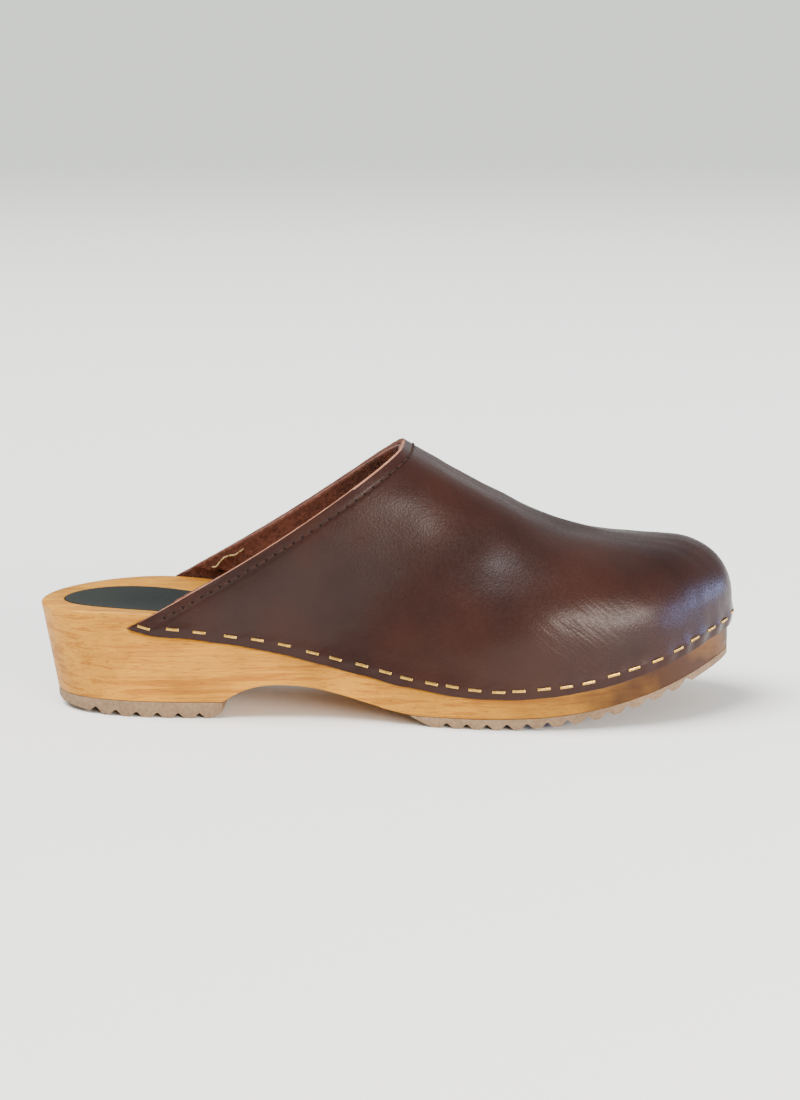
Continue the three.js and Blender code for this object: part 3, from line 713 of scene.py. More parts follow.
@dataclass(frozen=True)
class CarvedAlder:
    """Alder, carved and waxed: pale yellow brown, long soft grain, short flecks, smudges, painted shade
    to the toe.
    """

    light: str = "#c48822"
    dark: str = "#a36518"
    # Colour of the painted shade towards the toe and of the smudge patches.
    toe_shade_and_smudge: str = "#3d220a"
    fleck: str = "#70400f"
    grain_tilt: float = 2.0
    grain_mm: Point = (90.0, 9.0, 2.6)
    fleck_mm: Point = (5.0, 0.6, 0.42)
    smudge_mm: float = 34.0
    # Where the painted shade towards the toe begins and is full, in millimetres along the sole.
    toe_shade_mm: tuple[float, float] = (40.0, 105.0)

    def material(self) -> Material:
        """Builds the material."""
        material, tree, place = start_material("carved_alder_waxed")
        tilt = turned(tree, place, self.grain_tilt)
        grain = streaks(tree, tilt, self.grain_mm, 5, Roughness=0.6, Distortion=0.4)
        flecks = streaks(tree, tilt, self.fleck_mm, 2)
        smudge = noise(tree, place, self.smudge_mm, 3)
        stops = (0.3, self.dark), (0.5, self.light), (0.6, self.dark), (0.72, self.light)
        dots = remap(tree, flecks, 0.56, 0.72, 0, 0.6)
        flecked = blend(tree, dots, ramp(tree, grain, *stops), self.fleck)
        # Painted shade: the wood darkens towards the toe, whose side faces away from the light.
        along = add(tree, "SeparateXYZ", {0: place}).outputs[0]
        begins, ends = (station * MM for station in self.toe_shade_mm)
        toe = remap(tree, along, begins, ends, 0, 0.85)
        patches = remap(tree, smudge, 0.42, 0.75, 0, 0.5)
        # The painted shade towards the toe and the real smudge patches, added up.
        shade_and_smudge = add(tree, "Math", {0: toe, 1: patches}, operation="ADD", use_clamp=True).outputs[0]
        links = {
            "Base Color": blend(tree, shade_and_smudge, flecked, self.toe_shade_and_smudge),
            "Roughness": remap(tree, grain, 0.3, 0.7, 0.42, 0.6),
            "Normal": relief(tree, flecks, 0.18, 0.15),
        }
        shade(tree, links, Specular_IOR_Level=0.2)
        return material


@dataclass(frozen=True)
class OiledLeather:
    """Full-grain cowhide, vegetable tanned and oiled: deep red brown, fine grain, soft wide shine."""

    deep: str = "#1e0e0a"
    body: str = "#28130e"
    warm: str = "#301810"
    grain_mm: float = 0.75
    pore_mm: float = 1.3
    patch_mm: float = 42.0
    crease_mm: Point = (13.0, 13.0, 1.5)
    crease_tilt: float = -40.0
    flex: Point = (72.0, -46.0, 44.0)
    flex_mm: tuple[float, float] = (8.0, 26.0)
    roughness: tuple[float, float] = (0.28, 0.42)

    def material(self) -> Material:
        """Builds the material, with creases where the foot bends it."""
        material, tree, place = start_material("oiled_full_grain_leather")
        patch = noise(tree, place, self.patch_mm, 4)
        pores = noise(tree, place, self.pore_mm, 4, 0.6)
        cells = {"Vector": place, "Scale": 1 / (self.grain_mm * MM), "Randomness": 1}
        grain = add(tree, "TexVoronoi", cells, feature="SMOOTH_F1").outputs["Distance"]
        lines = streaks(tree, turned(tree, place, self.crease_tilt), self.crease_mm, 2)
        centre = [c * MM for c in self.flex]
        away = add(tree, "VectorMath", {0: place, 1: centre}, operation="DISTANCE").outputs["Value"]
        near, far = (size * MM for size in self.flex_mm)
        bent = remap(tree, away, near, far, 0.4, 0)
        fine = relief(tree, grain, 0.35, 0.15)
        soft = relief(tree, pores, 0.14, 0.25, Normal=fine)
        links = {
            "Base Color": ramp(tree, patch, (0.3, self.deep), (0.5, self.body), (0.72, self.warm)),
            "Roughness": remap(tree, pores, 0.3, 0.7, *self.roughness),
            "Normal": relief(tree, lines, bent, 0.6, Normal=soft),
        }
        shade(tree, links, Specular_IOR_Level=0.2, Coat_Weight=0.03, Coat_Roughness=0.28)
        return material


@dataclass(frozen=True)
class Fibrous:
    """A dull fibrous surface, such as suede, a raw cut edge, foam, crepe rubber or thread."""

    name: str
    dark: str
    light: str
    fibre_mm: float
    patch_mm: float
    roughness: float
    relief_mm: float
    sheen: float = 0.0
    strength: float = 0.6
    shine: float = 0.12
    spread: float = 0.08

    def material(self) -> Material:
        """Builds the material."""
        material, tree, place = start_material(self.name)
        fibre = noise(tree, place, self.fibre_mm, 6, 0.7)
        patch = noise(tree, place, self.patch_mm, 3)
        both = add(tree, "Mix", {0: 0.4, 2: fibre, 3: patch}, data_type="FLOAT").outputs[0]
        low, high = self.roughness - self.spread, min(1.0, self.roughness + self.spread)
        links = {
            "Base Color": ramp(tree, both, (0.34, self.dark), (0.64, self.light)),
            "Roughness": remap(tree, patch, 0.3, 0.7, low, high),
            "Normal": relief(tree, fibre, self.strength, self.relief_mm),
        }
        shade(tree, links, Specular_IOR_Level=self.shine, Sheen_Weight=self.sheen)
        return material


@dataclass(frozen=True)
class CutEdge(Fibrous):
    """Cut leather: raw along the topline, burnished along the foot and darker on the inner side."""

    worn: str = "#432720"
    worn_most: float = 0.85
    inside_mm: tuple[float, float] = (0.0, 12.0)
    foot_mm: tuple[float, float] = (37.0, 42.0)

    def material(self) -> Material:
        """Builds the material."""
        material = super().material()
        tree = material.node_tree
        raw = tree.nodes["Principled BSDF"].inputs["Base Color"].links[0].from_socket
        split = add(tree, "SeparateXYZ", {0: add(tree, "TexCoord").outputs["Object"]})
        across, height = ([size * MM for size in span] for span in (self.inside_mm, self.foot_mm))
        inside = remap(tree, split.outputs[1], *across, 0, self.worn_most)
        low = remap(tree, split.outputs[2], *height, self.worn_most, 0)
        either = add(tree, "Math", {0: inside, 1: low}, operation="MAXIMUM").outputs[0]
        shade(tree, {"Base Color": blend(tree, either, raw, self.worn)})
        return material


@dataclass(frozen=True)
class BrassedWire:
    """Brass-coated steel wire, drawn: a warm pale gold shine with small dull spots."""

    bright: str = "#d2a856"
    dull: str = "#a57c36"
    spot_mm: float = 1.2

    def material(self) -> Material:
        """Builds the material."""
        material, tree, place = start_material("brassed_steel_wire")
        spots = noise(tree, place, self.spot_mm, 4)
        links = {
            "Base Color": ramp(tree, spots, (0.35, self.dull), (0.6, self.bright)),
            "Roughness": remap(tree, spots, 0.3, 0.7, 0.42, 0.26),
        }
        shade(tree, links, Metallic=1.0)
        return material


SUEDE = Fibrous("split_suede_flesh_side", "#34190f", "#804b39", 1.5, 9.0, 0.95, 1.0, 0.2, 1.0)
RAW_EDGE = CutEdge("cut_leather_edge", "#6f4636", "#a87b65", 0.6, 9.0, 0.9, 0.35)
# Painted shade: near-black discs at the needle's holes stand for the shade inside them.
HOLE_SHADE = Fibrous("painted_hole_shade", "#0f0706", "#1f110d", 0.7, 16.0, 0.8, 0.2)
PAD_RUBBER = Fibrous("moulded_pad_rubber", "#181b1a", "#292c29", 0.8, 22.0, 0.62, 0.12, 0.0, 0.35)
CREPE = Fibrous("moulded_crepe_rubber", "#66523f", "#8b745c", 1.3, 18.0, 0.85, 0.3, 0.0, 0.5)
BROWN_THREAD = Fibrous("waxed_polyester_thread", "#1d0e09", "#3a2117", 0.35, 6.0, 0.6, 0.1)
PALE_THREAD = Fibrous("undyed_linen_thread", "#8f7548", "#c4ad7e", 0.35, 6.0, 0.85, 0.1)


# ------------------------------------------------------------------ sub-assemblies


@dataclass
class CarvedSole:
    """The wooden sole: a carved heel and forepart with a rebate for the leather, in millimetres."""

    last: Last
    rim_round: float = 1.4
    foot_round: float = 0.5
    ribs: int = 420

    def build(self) -> Object:
        """Builds the sole, without the pad's seat, which HeelPad.let_in cuts later."""
        last = self.last
        tip = 1 + last.gap / last.edge_length
        nick = 0.0004
        covered = np.linspace(-tip, tip, self.ribs)
        behind = np.linspace(0, 1, 70)
        bare = np.full(len(behind), tip + nick)
        w = np.concatenate([-bare, covered, bare])
        q = np.concatenate([behind[::-1], 0 * covered, behind])
        under = (np.abs(w) <= tip).astype(float)
        return self._mesh(w, q, under)

    def _edge(self, sign: float, share: float) -> float:
        """Where the leather's rear edge crosses the wall.

        Args:
            sign: the side of the foot.
            share: how far up from the leather's foot to the rim.

        Returns:
            The rim's parameter there.
        """
        last = self.last
        foot = last.face(sign, 0.0)
        height = share * (last.lap - last.tip_rise)
        level = reach(lambda v: last.face(sign, v)[..., 2] - foot[2], height, 0, 1)
        station = float(last.face(sign, level)[..., 0])
        return float(reach(lambda u: -last.rim(sign * u)[0], -station, 0.3, 1))

    def _mesh(self, w: Array, q: Array, under: Array) -> Object:
        """Builds the closed surface of the sole.

        Args:
            w: each rib's place, as a rib of the leather.
            q: for ribs behind the leather, the share of the way on to the heel's back.
            under: 1 for ribs under the leather.

        Returns:
            The sole.
        """
        last = self.last
        sign = np.where(w < 0, -1.0, 1.0)

        def rib(share: float) -> Array:
            """The rim's parameter of each rib at a share of the height of the rebate."""
            edge = np.where(w < 0, self._edge(-1, share), self._edge(1, share))
            front = w * edge
            return np.where(under > 0, front, sign * mix(edge * np.abs(w), 1, q))

        low = rib(0.0)
        x, y, _ = last.rim(low)
        bottom = last.underside(x)
        for _ in range(4):
            bottom = last.underside(last.wall(low, bottom)[0])
        base_x, base_y, _ = last.rim(low)
        rim = last.rim_height(base_x, base_y)
        foot = rim - last.lap_at(w) + last.tip_lift(w) - last.gap
        depth = under * (last.leather + last.gap - last.proud_at(w))

        columns = []
        mean = (last.tip_inner + last.tip_outer) / 2
        spine_x, spine_y = last.spine(np.where(under > 0, np.abs(w) * mean, mix(mean, 1, q)))
        edge_x, edge_y = last.wall(low, bottom, self.foot_round)
        for t in np.linspace(0, 1, 14) ** 0.8:
            px, py = mix(spine_x, edge_x, t), mix(spine_y, edge_y, t)
            columns.append((px, py, last.underside(px)))
        for t in (0.35, 0.7, 1):
            turn = t * math.pi / 2
            z = bottom + self.foot_round * (1 - math.cos(turn))
            px, py = last.wall(low, z, self.foot_round * (1 - math.sin(turn)))
            columns.append((px, py, z))
        for t in np.linspace(0, 1, 12)[1:]:
            z = mix(bottom + self.foot_round, foot, t)
            px, py = last.wall(low, z)
            columns.append((px, py, z))
        for t in (0.0, 0.25, 0.5, 0.75, 1.0):
            u = rib(t)
            top_x, top_y, _ = last.rim(u)
            crown = last.rim_height(top_x, top_y)
            z = mix(foot, crown - self.rim_round, t)
            px, py = last.wall(u, z, depth)
            columns.append((px, py, z))
        top = rib(1.0)
        top_x, top_y, _ = last.rim(top)
        crown = last.rim_height(top_x, top_y)
        for t in (0.25, 0.5, 0.75, 1):
            turn = t * math.pi / 2
            inset = np.maximum(depth, self.rim_round * (1 - math.cos(turn)))
            z = crown - self.rim_round * (1 - math.sin(turn))
            px, py, _ = last.rim(top, -inset)
            columns.append((px, py, z))
        lip_x, lip_y = px, py
        for t in np.linspace(0, 1, 30)[1:]:
            px, py = mix(lip_x, spine_x, t), mix(lip_y, spine_y, t)
            z = last.footbed(px, py)
            columns.append((px, py, mix(crown, z, ease(t, 0, 0.08))))
        points = np.stack([np.stack(c, -1) for c in columns], 1)
        bm = grid_mesh(last.placed(points))
        return new_piece("carved_sole", bm, [CarvedAlder().material()], ["wood_sole"])


@dataclass
class HeelPad:
    """The pad let into the heel's seat, in millimetres."""

    last: Last
    thickness: float = 1.5
    sink: float = 1.4
    start: float = 9.0
    length: float = 80.0
    half_width: float = 18.5
    back_width: float = 1.28
    narrowing: float = 0.65
    middle: float = 0.4
    edge_round: float = 0.35

    def sheet(self, grown: float, low: float, high: float) -> BMesh:
        """The closed egg-shaped pad.

        Args:
            grown: how much wider it is all round.
            low: its underside over the footbed.
            high: its top over the footbed.

        Returns:
            Its bmesh.
        """
        angle = np.linspace(0, 2 * math.pi, 121)[:, None]
        share = np.concatenate([np.linspace(0, 0.92, 14), [0.96, 1.0]])[None, :]
        t = (1 - np.cos(angle)) / 2
        half = self.length / 2 + grown
        edge_x = self.start - grown + 2 * half * t
        edge_y = (self.half_width * (self.back_width - self.narrowing * t) + grown) * np.sin(angle)
        centre = self.start + self.length * self.middle
        x = mix(centre, edge_x, share)
        y = edge_y * share
        bed = self.last.footbed(x, y)
        top = np.stack([x, y, bed + high], -1)
        bottom = np.stack([x, y, bed + low], -1)[:, ::-1]
        return grid_mesh(self.last.placed(np.concatenate([top, bottom], 1)))

    def build(self) -> Object:
        """Builds the pad with a rounded rim."""
        low = self.last.gap - self.sink
        bm = self.sheet(0, low, low + self.thickness)
        soften(bm, self.edge_round * MM, 50, 3)
        return new_piece("heel_pad_rubber", bm, [PAD_RUBBER.material()], ["heel_pad"])

    def let_in(self, sole: Object) -> None:
        """Cuts the pad's seat into the sole."""
        bm = self.sheet(self.last.gap, -self.sink, self.last.heel_cup + 5)
        tool = add_object("seat", mesh_of("seat", bm))
        cut = sole.modifiers.new("seat", "BOOLEAN")
        cut.operation = "DIFFERENCE"
        cut.solver = "EXACT"
        cut.object = tool
        bpy.context.view_layer.update()
        graph = bpy.context.evaluated_depsgraph_get()
        made = bpy.data.meshes.new_from_object(sole.evaluated_get(graph))
        sole.modifiers.clear()
        sole.data = made
        bpy.data.objects.remove(tool)


class End(Enum):
    """Which end of the sole a tread lies under."""

    HEEL = "heel"
    FORE = "fore"


@dataclass
class Tread:
    """A crepe rubber tread with cross grooves, in millimetres."""

    last: Last
    end: End
    pitch: float
    first: float
    stop: float
    groove_depth: float = 1.9
    groove_width: float = 5.0
    groove_floor: float = 0.6
    wear: float = 1.3
    glue: float = 0.07
    roll: tuple[float, ...] = (0.0, 0.8, 3.0, 7.0)
    roll_rise: tuple[float, ...] = (0.95, 0.6, 0.42)
    front_roll: float = 4.0
    front_rise: float = 0.4
    skive: float = 8.0
    skived_share: float = 0.97
    worn_from: float = 0.63
    worn_over: float = 0.35
    edge_round: float = 0.28

    def grooves(self) -> Array:
        """The stations of the grooves."""
        count = int((self.stop - self.first) // self.pitch)
        return self.first + self.pitch * np.arange(count + 1)

    def _outline(self, level: float) -> tuple[Array, Array, Array, Array]:
        """The sole's outline at a height, as stations and widths of each side, rising."""
        u = np.linspace(0, 1, 1500)
        in_x, in_y = self.last.wall(u, level)
        out_x, out_y = self.last.wall(-u, level)
        return in_x[::-1], in_y[::-1], out_x[::-1], out_y[::-1]

    def _floor(self, x: Array) -> Array:
        """The height of the tread's underside without its grooves."""
        last = self.last
        if self.end is End.HEEL:
            back = last.back_taper * (1 - last.heel_tread / last.heel_rim)
            knots = [back + step for step in self.roll]
            knots += [last.breast - self.front_roll, last.breast]
            heights = [rise * last.heel_tread for rise in self.roll_rise]
            heights += [self._worn(knots[3]), 0, self.front_rise * last.heel_tread]
            ends = np.interp(x, knots, heights)
            return np.where((x < knots[3]) | (x > knots[4]), ends, self._worn(x))
        climb = np.maximum(0, last.underside(x) - last.ball_floor)
        low = last.toe_spring * climb / (last.tip_floor - last.ball_floor)
        start = last.tread_start
        thin = self.skived_share * (last.underside(np.array(start)) - last.gap)
        skived = mix(thin, 0, np.clip((x - start) / self.skive, 0, 1))
        return np.where(x < start + self.skive, skived, low)

    def _worn(self, x: Amount) -> Amount:
        """How far the heel's tread is worn up, which is more towards its back."""
        breast = self.last.breast
        return self.wear * np.maximum(0, (self.worn_from * breast - x) / (self.worn_over * breast)) ** 2

    def _top(self, x: Array) -> Array:
        """The height of the tread's top."""
        glued = self.last.gap - self.glue
        if self.end is End.HEEL:
            return np.full_like(x, self.last.heel_tread + glued)
        return self.last.underside(x) - self.last.gap + glued

    def build(self) -> Object:
        """Builds the tread as a grid that is drawn up into a slab."""
        last = self.last
        level = last.heel_tread if self.end is End.HEEL else last.ball_floor
        in_x, in_y, out_x, out_y = self._outline(level)
        if self.end is End.HEEL:
            low, high = max(in_x[0], out_x[0]) + 0.02, last.breast
            cosine = low + (high - low) * (1 - np.cos(np.linspace(0, math.pi / 2, 40)))
        else:
            low, high = last.tread_start, min(in_x[-1], out_x[-1]) - 0.02
            cosine = low + (high - low) * np.sin(np.linspace(0, math.pi / 2, 70))
        grooves = self.grooves()
        half, flat = self.groove_width / 2, self.groove_floor / 2
        kept = [x for x in cosine if np.abs(grooves - x).min() > half + 0.4]
        notch = [g + d for g in grooves for d in (-half, -flat, flat, half)]
        stations = np.array(sorted(kept + notch + [low, high]))
        stations = stations[np.concatenate([[True], np.diff(stations) > 1e-3])]
        near = np.abs(stations[:, None] - grooves[None, :]).min(1)
        rise = np.interp(near, [0, flat, half], [1, 1, 0]) * self.groove_depth
        floor = self._floor(stations) + rise
        across = np.linspace(0, 1, 25)[None, :]
        y = mix(
            np.interp(stations, out_x, out_y)[:, None],
            np.interp(stations, in_x, in_y)[:, None],
            across,
        )
        x = np.broadcast_to(stations[:, None], y.shape)
        low_points = np.stack([x, y, np.broadcast_to(floor[:, None], y.shape)], -1)
        high_points = low_points.copy()
        high_points[..., 2] = self._top(stations)[:, None]
        ring = np.concatenate([low_points, high_points[:, ::-1], low_points[:, :1]], 1)
        bm = grid_mesh(last.placed(ring))
        loose = [e for e in bm.edges if e.is_boundary]
        if loose:
            bmesh.ops.holes_fill(bm, edges=loose, sides=0)
            bmesh.ops.recalc_face_normals(bm, faces=bm.faces)
        soften(bm, self.edge_round * MM, 30, 2)
        node = "heel_tread" if self.end is End.HEEL else "forefoot_tread"
        return new_piece(f"{node}_crepe", bm, [CREPE.material()], [node])


@dataclass
class LeatherUpper:
    """The one-piece leather upper, in millimetres."""

    last: Last
    staples: Sequence[Vector]
    ribs: int = 560
    levels: int = 62
    edge_round: float = 0.35
    bare_rim: tuple[float, float] = (0.3, 0.8)
    channel: float = 0.15
    stitch_margin: float = 4.4
    bunch: tuple[float, float] = (0.2, 0.75)
    bunch_below: tuple[float, float] = (3.2, 5.0)
    bunch_above: float = 2.4
    seat: float = 0.26
    seat_width: float = 3.0
    folds: tuple[Wave, ...] = ((0.22, 24, 3), (0.07, 9, 4))
    fray: tuple[Wave, ...] = ((0.16, 3.1, 9),)
    foot_waves: tuple[Wave, ...] = ((0.22, 17, 5), (0.1, 6, 6))

    def build(self) -> Object:
        """Builds the outer face, with its puckers and seam channel, and gives it its thickness."""
        last = self.last
        spread = np.linspace(-1, 1, self.ribs)
        w = np.sign(spread) * (1 - (1 - np.abs(spread)) ** 1.12)
        v = np.linspace(0, 1, self.levels) ** 1.5
        w, v = np.meshgrid(w, v, indexing="ij")
        base = last.face(w, v)
        out = last.facing(w, v)
        points = base + out * self._relief(w, v, base)[..., None]
        climbed = self._climbed(base)
        points[..., 2] += ripples(base[:, :1], *self.foot_waves) * (1 - ease(climbed, 0, 5))
        points[..., 2] = np.minimum(points[..., 2], last.throat_height)
        bm = open_sheet(last.placed(points))
        self._bare_rim(bm)
        materials = [OiledLeather().material(), SUEDE.material(), RAW_EDGE.material()]
        upper = new_piece("leather_upper", bm, materials, ["upper"])
        thicken(upper, last.leather, material_offset=1, material_offset_rim=2)
        round_edges(upper, self.edge_round, 2, 55)
        return upper

    def _bare_rim(self, bm: BMesh) -> None:
        """Gives the faces along the topline the cut edge's finish, in a band that widens at the top."""
        last = self.last
        fine = np.linspace(0, 1, 1500)
        topline = last.placed(np.concatenate([last.face(-1, fine), last.face(1, fine)]))
        rim = tree_of(topline)
        for face in bm.faces:
            middle = face.calc_center_median()
            wide = mix(*self.bare_rim, ease(middle.z / last.throat_height / MM, 0.8, 0.97))
            if rim.find(middle)[2] < wide * MM:
                face.material_index = 2

    @staticmethod
    def _climbed(base: Array) -> Array:
        """How far each point is up its rib from the leather's foot."""
        steps = np.linalg.norm(np.diff(base, axis=1), axis=-1)
        return np.concatenate([np.zeros((len(base), 1)), np.cumsum(steps, 1)], 1)

    def _relief(self, w: Array, v: Array, base: Array) -> Array:
        """How far the real leather stands out of its plain face.

        Args:
            w: the ribs.
            v: the levels.
            base: the face's points.

        Returns:
            The height at each point: pulled down at the staples, bunched between them, pressed
            in along the stitches and gently uneven all over.
        """
        last = self.last
        tree = tree_of(last.placed(base).reshape(-1, 3))
        found = sorted(tree.find(s)[1] for s in self.staples)
        ribs = w.ravel()[found]
        climbed = self._climbed(base)
        rises = climbed.ravel()[found]
        phase = np.interp(w, ribs, 2 * math.pi * np.arange(len(ribs)))
        row = np.interp(w, ribs, rises)
        between = (1 - np.cos(phase)) / 2
        toe = 1 - ease(np.abs(w), 0.1, 0.42)
        above = np.maximum(0, climbed - row)
        below = np.maximum(0, row - climbed)
        fade = np.exp(-above / self.bunch_above) * hump(below, 0, mix(*self.bunch_below, toe))
        bunch = mix(*self.bunch, toe) * between * fade
        seat = self.seat * hump(climbed, row, self.seat_width)
        sign = np.where(w < 0, -1.0, 1.0)
        away = last.off_topline(sign, v, base)
        seam = -self.channel * hump(away, self.stitch_margin, 0.8) * ease(np.abs(w), 0.2, 0.5)
        rear = ease(np.abs(w), 0.985, 1) * (1 - ease(v, 0.8, 1))
        fray = ripples(base, *self.fray) * rear
        calm = ease(climbed, 0, 10) * (1 - ease(np.abs(w), 0.9, 1))
        return bunch + seat + seam + fray + ripples(base, *self.folds) * calm


@dataclass
class Topline:
    """The strip inside the topline and the two threads that sew it on, in millimetres."""

    last: Last
    strip: float = 1.0
    strip_width: float = 11.0
    peek: float = 0.8
    strip_clear: float = 2.0
    thread: float = 0.7
    margin: float = 4.4
    margin_rear: float = 3.2
    pitch: float = 4.0
    needle_start: float = 0.055
    needle_dip: float = 0.95
    needle_stand: float = 0.14
    hole: float = 0.7
    hole_flat: float = 0.35
    hole_sunk: float = 0.1
    bobbin_clear: float = 6.0
    bobbin_dip: float = 0.75
    bobbin_sunk: float = 0.5
    slack_stitches: tuple[float, float] = (4.0, 2.5)
    slack_stand: float = 0.15
    slack_sag: float = 0.7
    slack_sway: float = 0.8
    sway_rate: float = 2.3

    def build(self) -> list[Object]:
        """Builds the strip, the stitches on both faces and the painted shade of the needle's holes."""
        outside = self._row(self.needle_start)
        inside = self._row(self.last.over_rim(1, self.bobbin_clear))
        return [self._strip(), self._needle(outside), self._holes(outside), self._bobbin(inside)]

    def _strip(self) -> Object:
        """Builds the suede strip."""
        last = self.last
        start = last.over_rim(1, self.strip_clear)
        t = np.linspace(-1, 1, 221)[:, None]
        d = np.linspace(0, 1, 9)[None, :]
        sign = np.where(t < 0, -1.0, 1.0) + 0 * d
        v = mix(1, start, np.abs(t)) + 0 * d
        edge = -self.peek * ease(np.abs(t), 0.8, 0.95)
        w = last.from_topline(sign, v, mix(edge, self.strip_width, d))
        lift = last.lap + self.strip_clear

        def risen(at: Array) -> Array:
            """How far the leather's face has climbed at a level."""
            return last.face(w, at)[..., 2] - last.face(w, 0 * at)[..., 2]

        v = np.maximum(v, reach(risen, lift + 0 * w, 0, 1))
        depth = -last.leather - last.gap
        points = last.face(w, v) + last.facing(w, v) * depth
        bm = open_sheet(last.placed(points))
        strip = new_piece("suede_topline_strip", bm, [SUEDE.material()], ["topline_strip"])
        thicken(strip, self.strip)
        return strip

    def _row(self, start: float) -> Row:
        """The row of stitches.

        Args:
            start: the level where the row starts at each side.

        Returns:
            Points along the row, a twelfth of a stitch apart, with the outward direction and
            the distance sewn at each.
        """
        last = self.last
        t = np.linspace(-1, 1, 901)
        sign = np.where(t < 0, -1.0, 1.0)
        v = mix(1, start, np.abs(t))
        margin = mix(self.margin, self.margin_rear, ease(np.abs(t), 0.5, 1))
        w = last.from_topline(sign, v, margin)
        points = last.face(w, v)
        out = last.facing(w, v)
        steps = np.linalg.norm(np.diff(points, axis=0), axis=-1)
        sewn = np.concatenate([[0], np.cumsum(steps)])
        count = int(sewn[-1] // self.pitch) * 12
        at = np.linspace(0, sewn[-1], count + 1)
        even = np.stack([np.interp(at, sewn, points[:, k]) for k in range(3)], -1)
        facing = unit(np.stack([np.interp(at, sewn, out[:, k]) for k in range(3)], -1))
        return even, facing, np.arange(count + 1) / 12

    def _needle(self, row: Row) -> Object:
        """Builds the brown thread, which dips into the leather at each hole."""
        points, out, stitch = row
        dip = np.abs(np.sin(math.pi * stitch)) ** 0.5
        lift = mix(-self.needle_dip, self.needle_stand, dip)
        centre = self.last.placed(points + out * lift[:, None])
        bm = tube(centre, out, np.full(len(centre), self.thread / 2 * MM))
        finish = [BROWN_THREAD.material()]
        return new_piece("needle_stitches", bm, finish, ["topline_needle_thread"])

    def _holes(self, row: Row) -> Object:
        """Builds dark flattened discs at the needle's holes, painted shade for the holes."""
        points, out, _ = row
        bm = bmesh.new()
        for place, way in zip(self.last.placed(points[::12]), out[::12]):
            made = bmesh.ops.create_icosphere(bm, subdivisions=1, radius=self.hole * MM)["verts"]
            turn = Vector((0, 0, 1)).rotation_difference(Vector(way)).to_matrix()
            bmesh.ops.scale(bm, vec=(1, 1, self.hole_flat), verts=made)
            bmesh.ops.rotate(bm, cent=(0, 0, 0), matrix=turn, verts=made)
            bmesh.ops.translate(bm, vec=Vector(place) - Vector(way) * self.hole_sunk * MM, verts=made)
        return new_piece("needle_hole_shade", bm, [HOLE_SHADE.material()])

    def _bobbin(self, row: Row) -> Object:
        """Builds the pale thread inside, slack and looping near the inner side's rear end."""
        points, out, stitch = row
        depth = -self.last.leather - self.last.gap - self.strip
        dip = np.abs(np.sin(math.pi * stitch)) ** 0.5
        slack = ease(stitch, *(stitch[-1] - count for count in self.slack_stitches))
        stand = mix(self.bobbin_sunk, -self.slack_stand, slack)
        lift = depth + mix(self.bobbin_dip, stand, dip) - self.slack_sag * slack * dip
        along = unit(np.gradient(points, axis=0))
        side = np.cross(out, along)
        wander = self.slack_sway * slack * np.sin(self.sway_rate * stitch) * dip
        centre = self.last.placed(points + out * lift[:, None] + side * wander[:, None])
        bm = tube(centre, out, np.full(len(centre), self.thread / 2 * MM))
        finish = [PALE_THREAD.material()]
        return new_piece("bobbin_stitches", bm, finish, ["topline_bobbin_thread"])


@dataclass
class Fasteners:
    """The staples and nails, which keep the frame's own solids with their wire rounded."""

    wire_round: float = 0.3

    def names(self) -> list[str]:
        """The fasteners' nodes."""
        return sorted(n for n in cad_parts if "staple" in n or "nail" in n)

    def dress(self) -> None:
        """Gives each its metal and rounds its edges."""
        brass = BrassedWire().material()
        for name in self.names():
            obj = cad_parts[name]
            obj.data.materials.clear()
            obj.data.materials.append(brass)
            obj.data.polygons.foreach_set("use_smooth", [True] * len(obj.data.polygons))
            join = obj.modifiers.new("join", "WELD")
            join.merge_threshold = 0.01 * MM
            round_edges(obj, self.wire_round, 4, 40)
        LOG.info("dressed %d fasteners", len(self.names()))

    def staples(self) -> list[Vector]:
        """The middle of each staple."""
        boxes = [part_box(name) for name in self.names() if "staple" in name]
        return [(low + high) / 2 for low, high in boxes]


# ------------------------------------------------------------------ studio


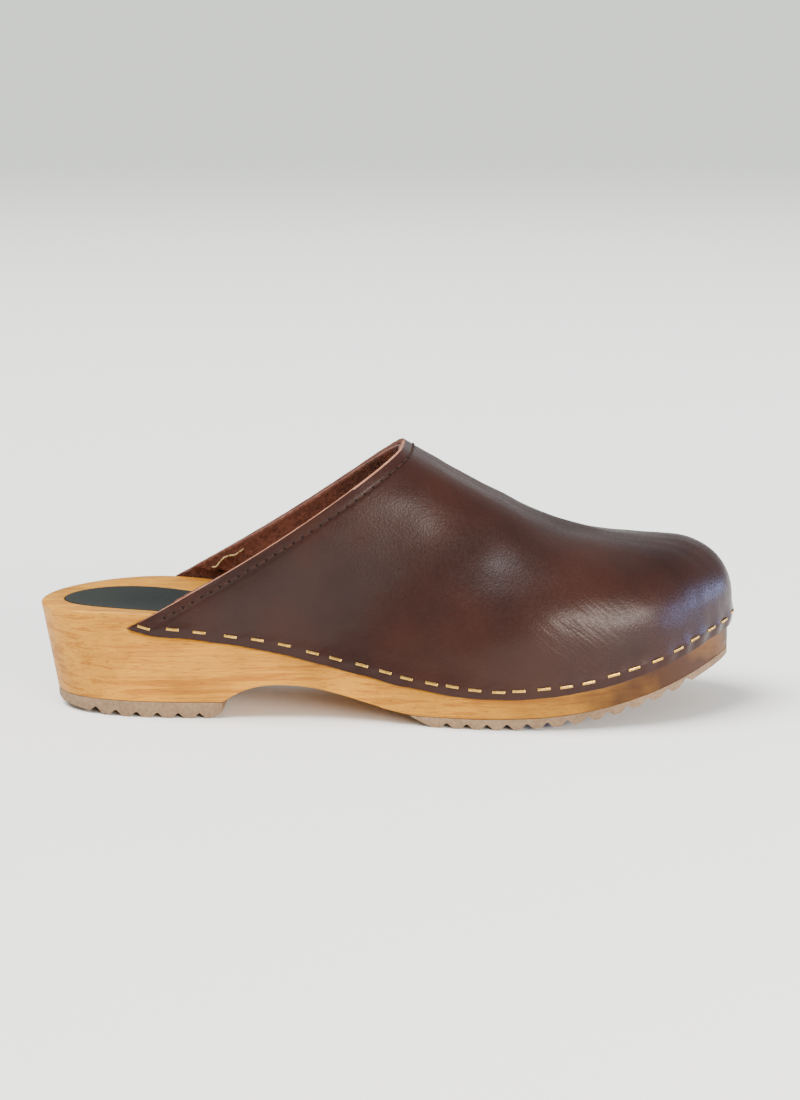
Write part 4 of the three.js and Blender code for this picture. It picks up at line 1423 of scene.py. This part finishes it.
@dataclass
class Studio:
    """The floor, the soft lights and the camera, in millimetres from the frame's origin."""

    eye: Point = (52.0, -1078.8, 269.0)
    target: Point = (4.9, 0.0, 59.1)
    lens: float = 94.7
    sensor: float = 36.0
    sky: str = "#dfe3e4"
    sky_strength: float = 0.9
    floor_near: str = "#f2f2ee"
    # Painted shade: the floor fades to this colour far away, as if the light fell off.
    floor_far_shade: str = "#b2b6ae"
    shade_fade_mm: tuple[float, float] = (400.0, 4000.0)
    floor_size: float = 120000.0

    def build(self) -> None:
        """Builds the whole studio."""
        self._floor()
        self._sky()
        self._light("key_window", (950, -1250, 430), (1300, 260), 46, "#fff4e8")
        self._light("blue_window", (1350, 120, 130), (1300, 100), 13, "#a9c0ff")
        self._sun((-0.5, -0.15, 1.0), 42, 6.9)
        self._camera()

    def _floor(self) -> None:
        """Builds the pale floor, with painted shade that darkens it a little with distance."""
        bm = bmesh.new()
        bmesh.ops.create_grid(bm, x_segments=2, y_segments=2, size=self.floor_size * MM)
        floor = add_object("floor", mesh_of("floor", bm))
        material, tree, place = start_material("matt_paper")
        # Painted shade: the floor's colour darkens with distance from the clog.
        away = add(tree, "VectorMath", {0: place}, operation="LENGTH").outputs["Value"]
        reach_mm = [size * MM for size in self.shade_fade_mm]
        span = {"Value": away, 1: reach_mm[0], 2: reach_mm[1]}
        far = add(tree, "MapRange", span, interpolation_type="SMOOTHERSTEP").outputs[0]
        colour = blend(tree, far, self.floor_near, self.floor_far_shade)
        shade(tree, {"Base Color": colour}, Roughness=0.9, Specular_IOR_Level=0.2)
        floor.data.materials.append(material)

    def _sky(self) -> None:
        """Lights the room evenly."""
        world = bpy.data.worlds.new("room")
        world.use_nodes = True
        back = world.node_tree.nodes["Background"]
        back.inputs["Color"].default_value = linear(self.sky)
        back.inputs["Strength"].default_value = self.sky_strength
        bpy.context.scene.world = world

    def _light(
        self,
        name: str,
        place: Point,
        size: tuple[float, float],
        power: float,
        colour: str,
    ) -> None:
        """Adds a soft rectangular light that faces the clog.

        Args:
            name: its name.
            place: where it hangs, in millimetres.
            size: its width and height, in millimetres.
            power: in watts.
            colour: as sRGB hex.
        """
        data = bpy.data.lights.new(name, "AREA")
        data.shape = "RECTANGLE"
        data.size, data.size_y = size[0] * MM, size[1] * MM
        data.energy = power
        data.color = linear(colour)[:3]
        self._aimed(name, data, place)

    def _sun(self, source: Point, spread: float, strength: float) -> None:
        """Adds the broad daylight that gives the clog its soft shadow.

        Args:
            source: the way to the light.
            spread: how wide the light is, in degrees.
            strength: in watts per square metre.
        """
        data = bpy.data.lights.new("daylight", "SUN")
        data.angle = math.radians(spread)
        data.energy = strength
        lamp = add_object("daylight", data)
        lamp.rotation_euler = Vector(source).to_track_quat("Z", "Y").to_euler()

    def _camera(self) -> None:
        """Places the camera."""
        data = bpy.data.cameras.new("camera")
        data.lens = self.lens
        data.sensor_width = self.sensor
        bpy.context.scene.camera = self._aimed("camera", data, self.eye)

    def _aimed(self, name: str, data: bpy.types.ID, place: Point) -> Object:
        """An object that hangs at a place and faces the target."""
        made = add_object(name, data)
        made.location = Vector(place) * MM
        aim = Vector(self.target) * MM - made.location
        made.rotation_euler = aim.to_track_quat("-Z", "Y").to_euler()
        return made


def main() -> None:
    """Builds the clog and its studio."""
    logging.basicConfig(level=logging.INFO, format="%(name)s %(message)s")
    last = Last()
    last.settle(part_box("upper")[0])
    Studio().build()
    sole = CarvedSole(last).build()
    pad = HeelPad(last)
    pad.let_in(sole)
    pad.build()
    Tread(last, End.HEEL, pitch=7.95, first=23.7, stop=last.breast - 7.95).build()
    first = last.tread_start + 13.5
    Tread(last, End.FORE, pitch=7.42, first=first, stop=last.length - 14).build()
    metal = Fasteners()
    metal.dress()
    LeatherUpper(last, metal.staples()).build()
    Topline(last).build()


if __name__ == "__main__":
    main()
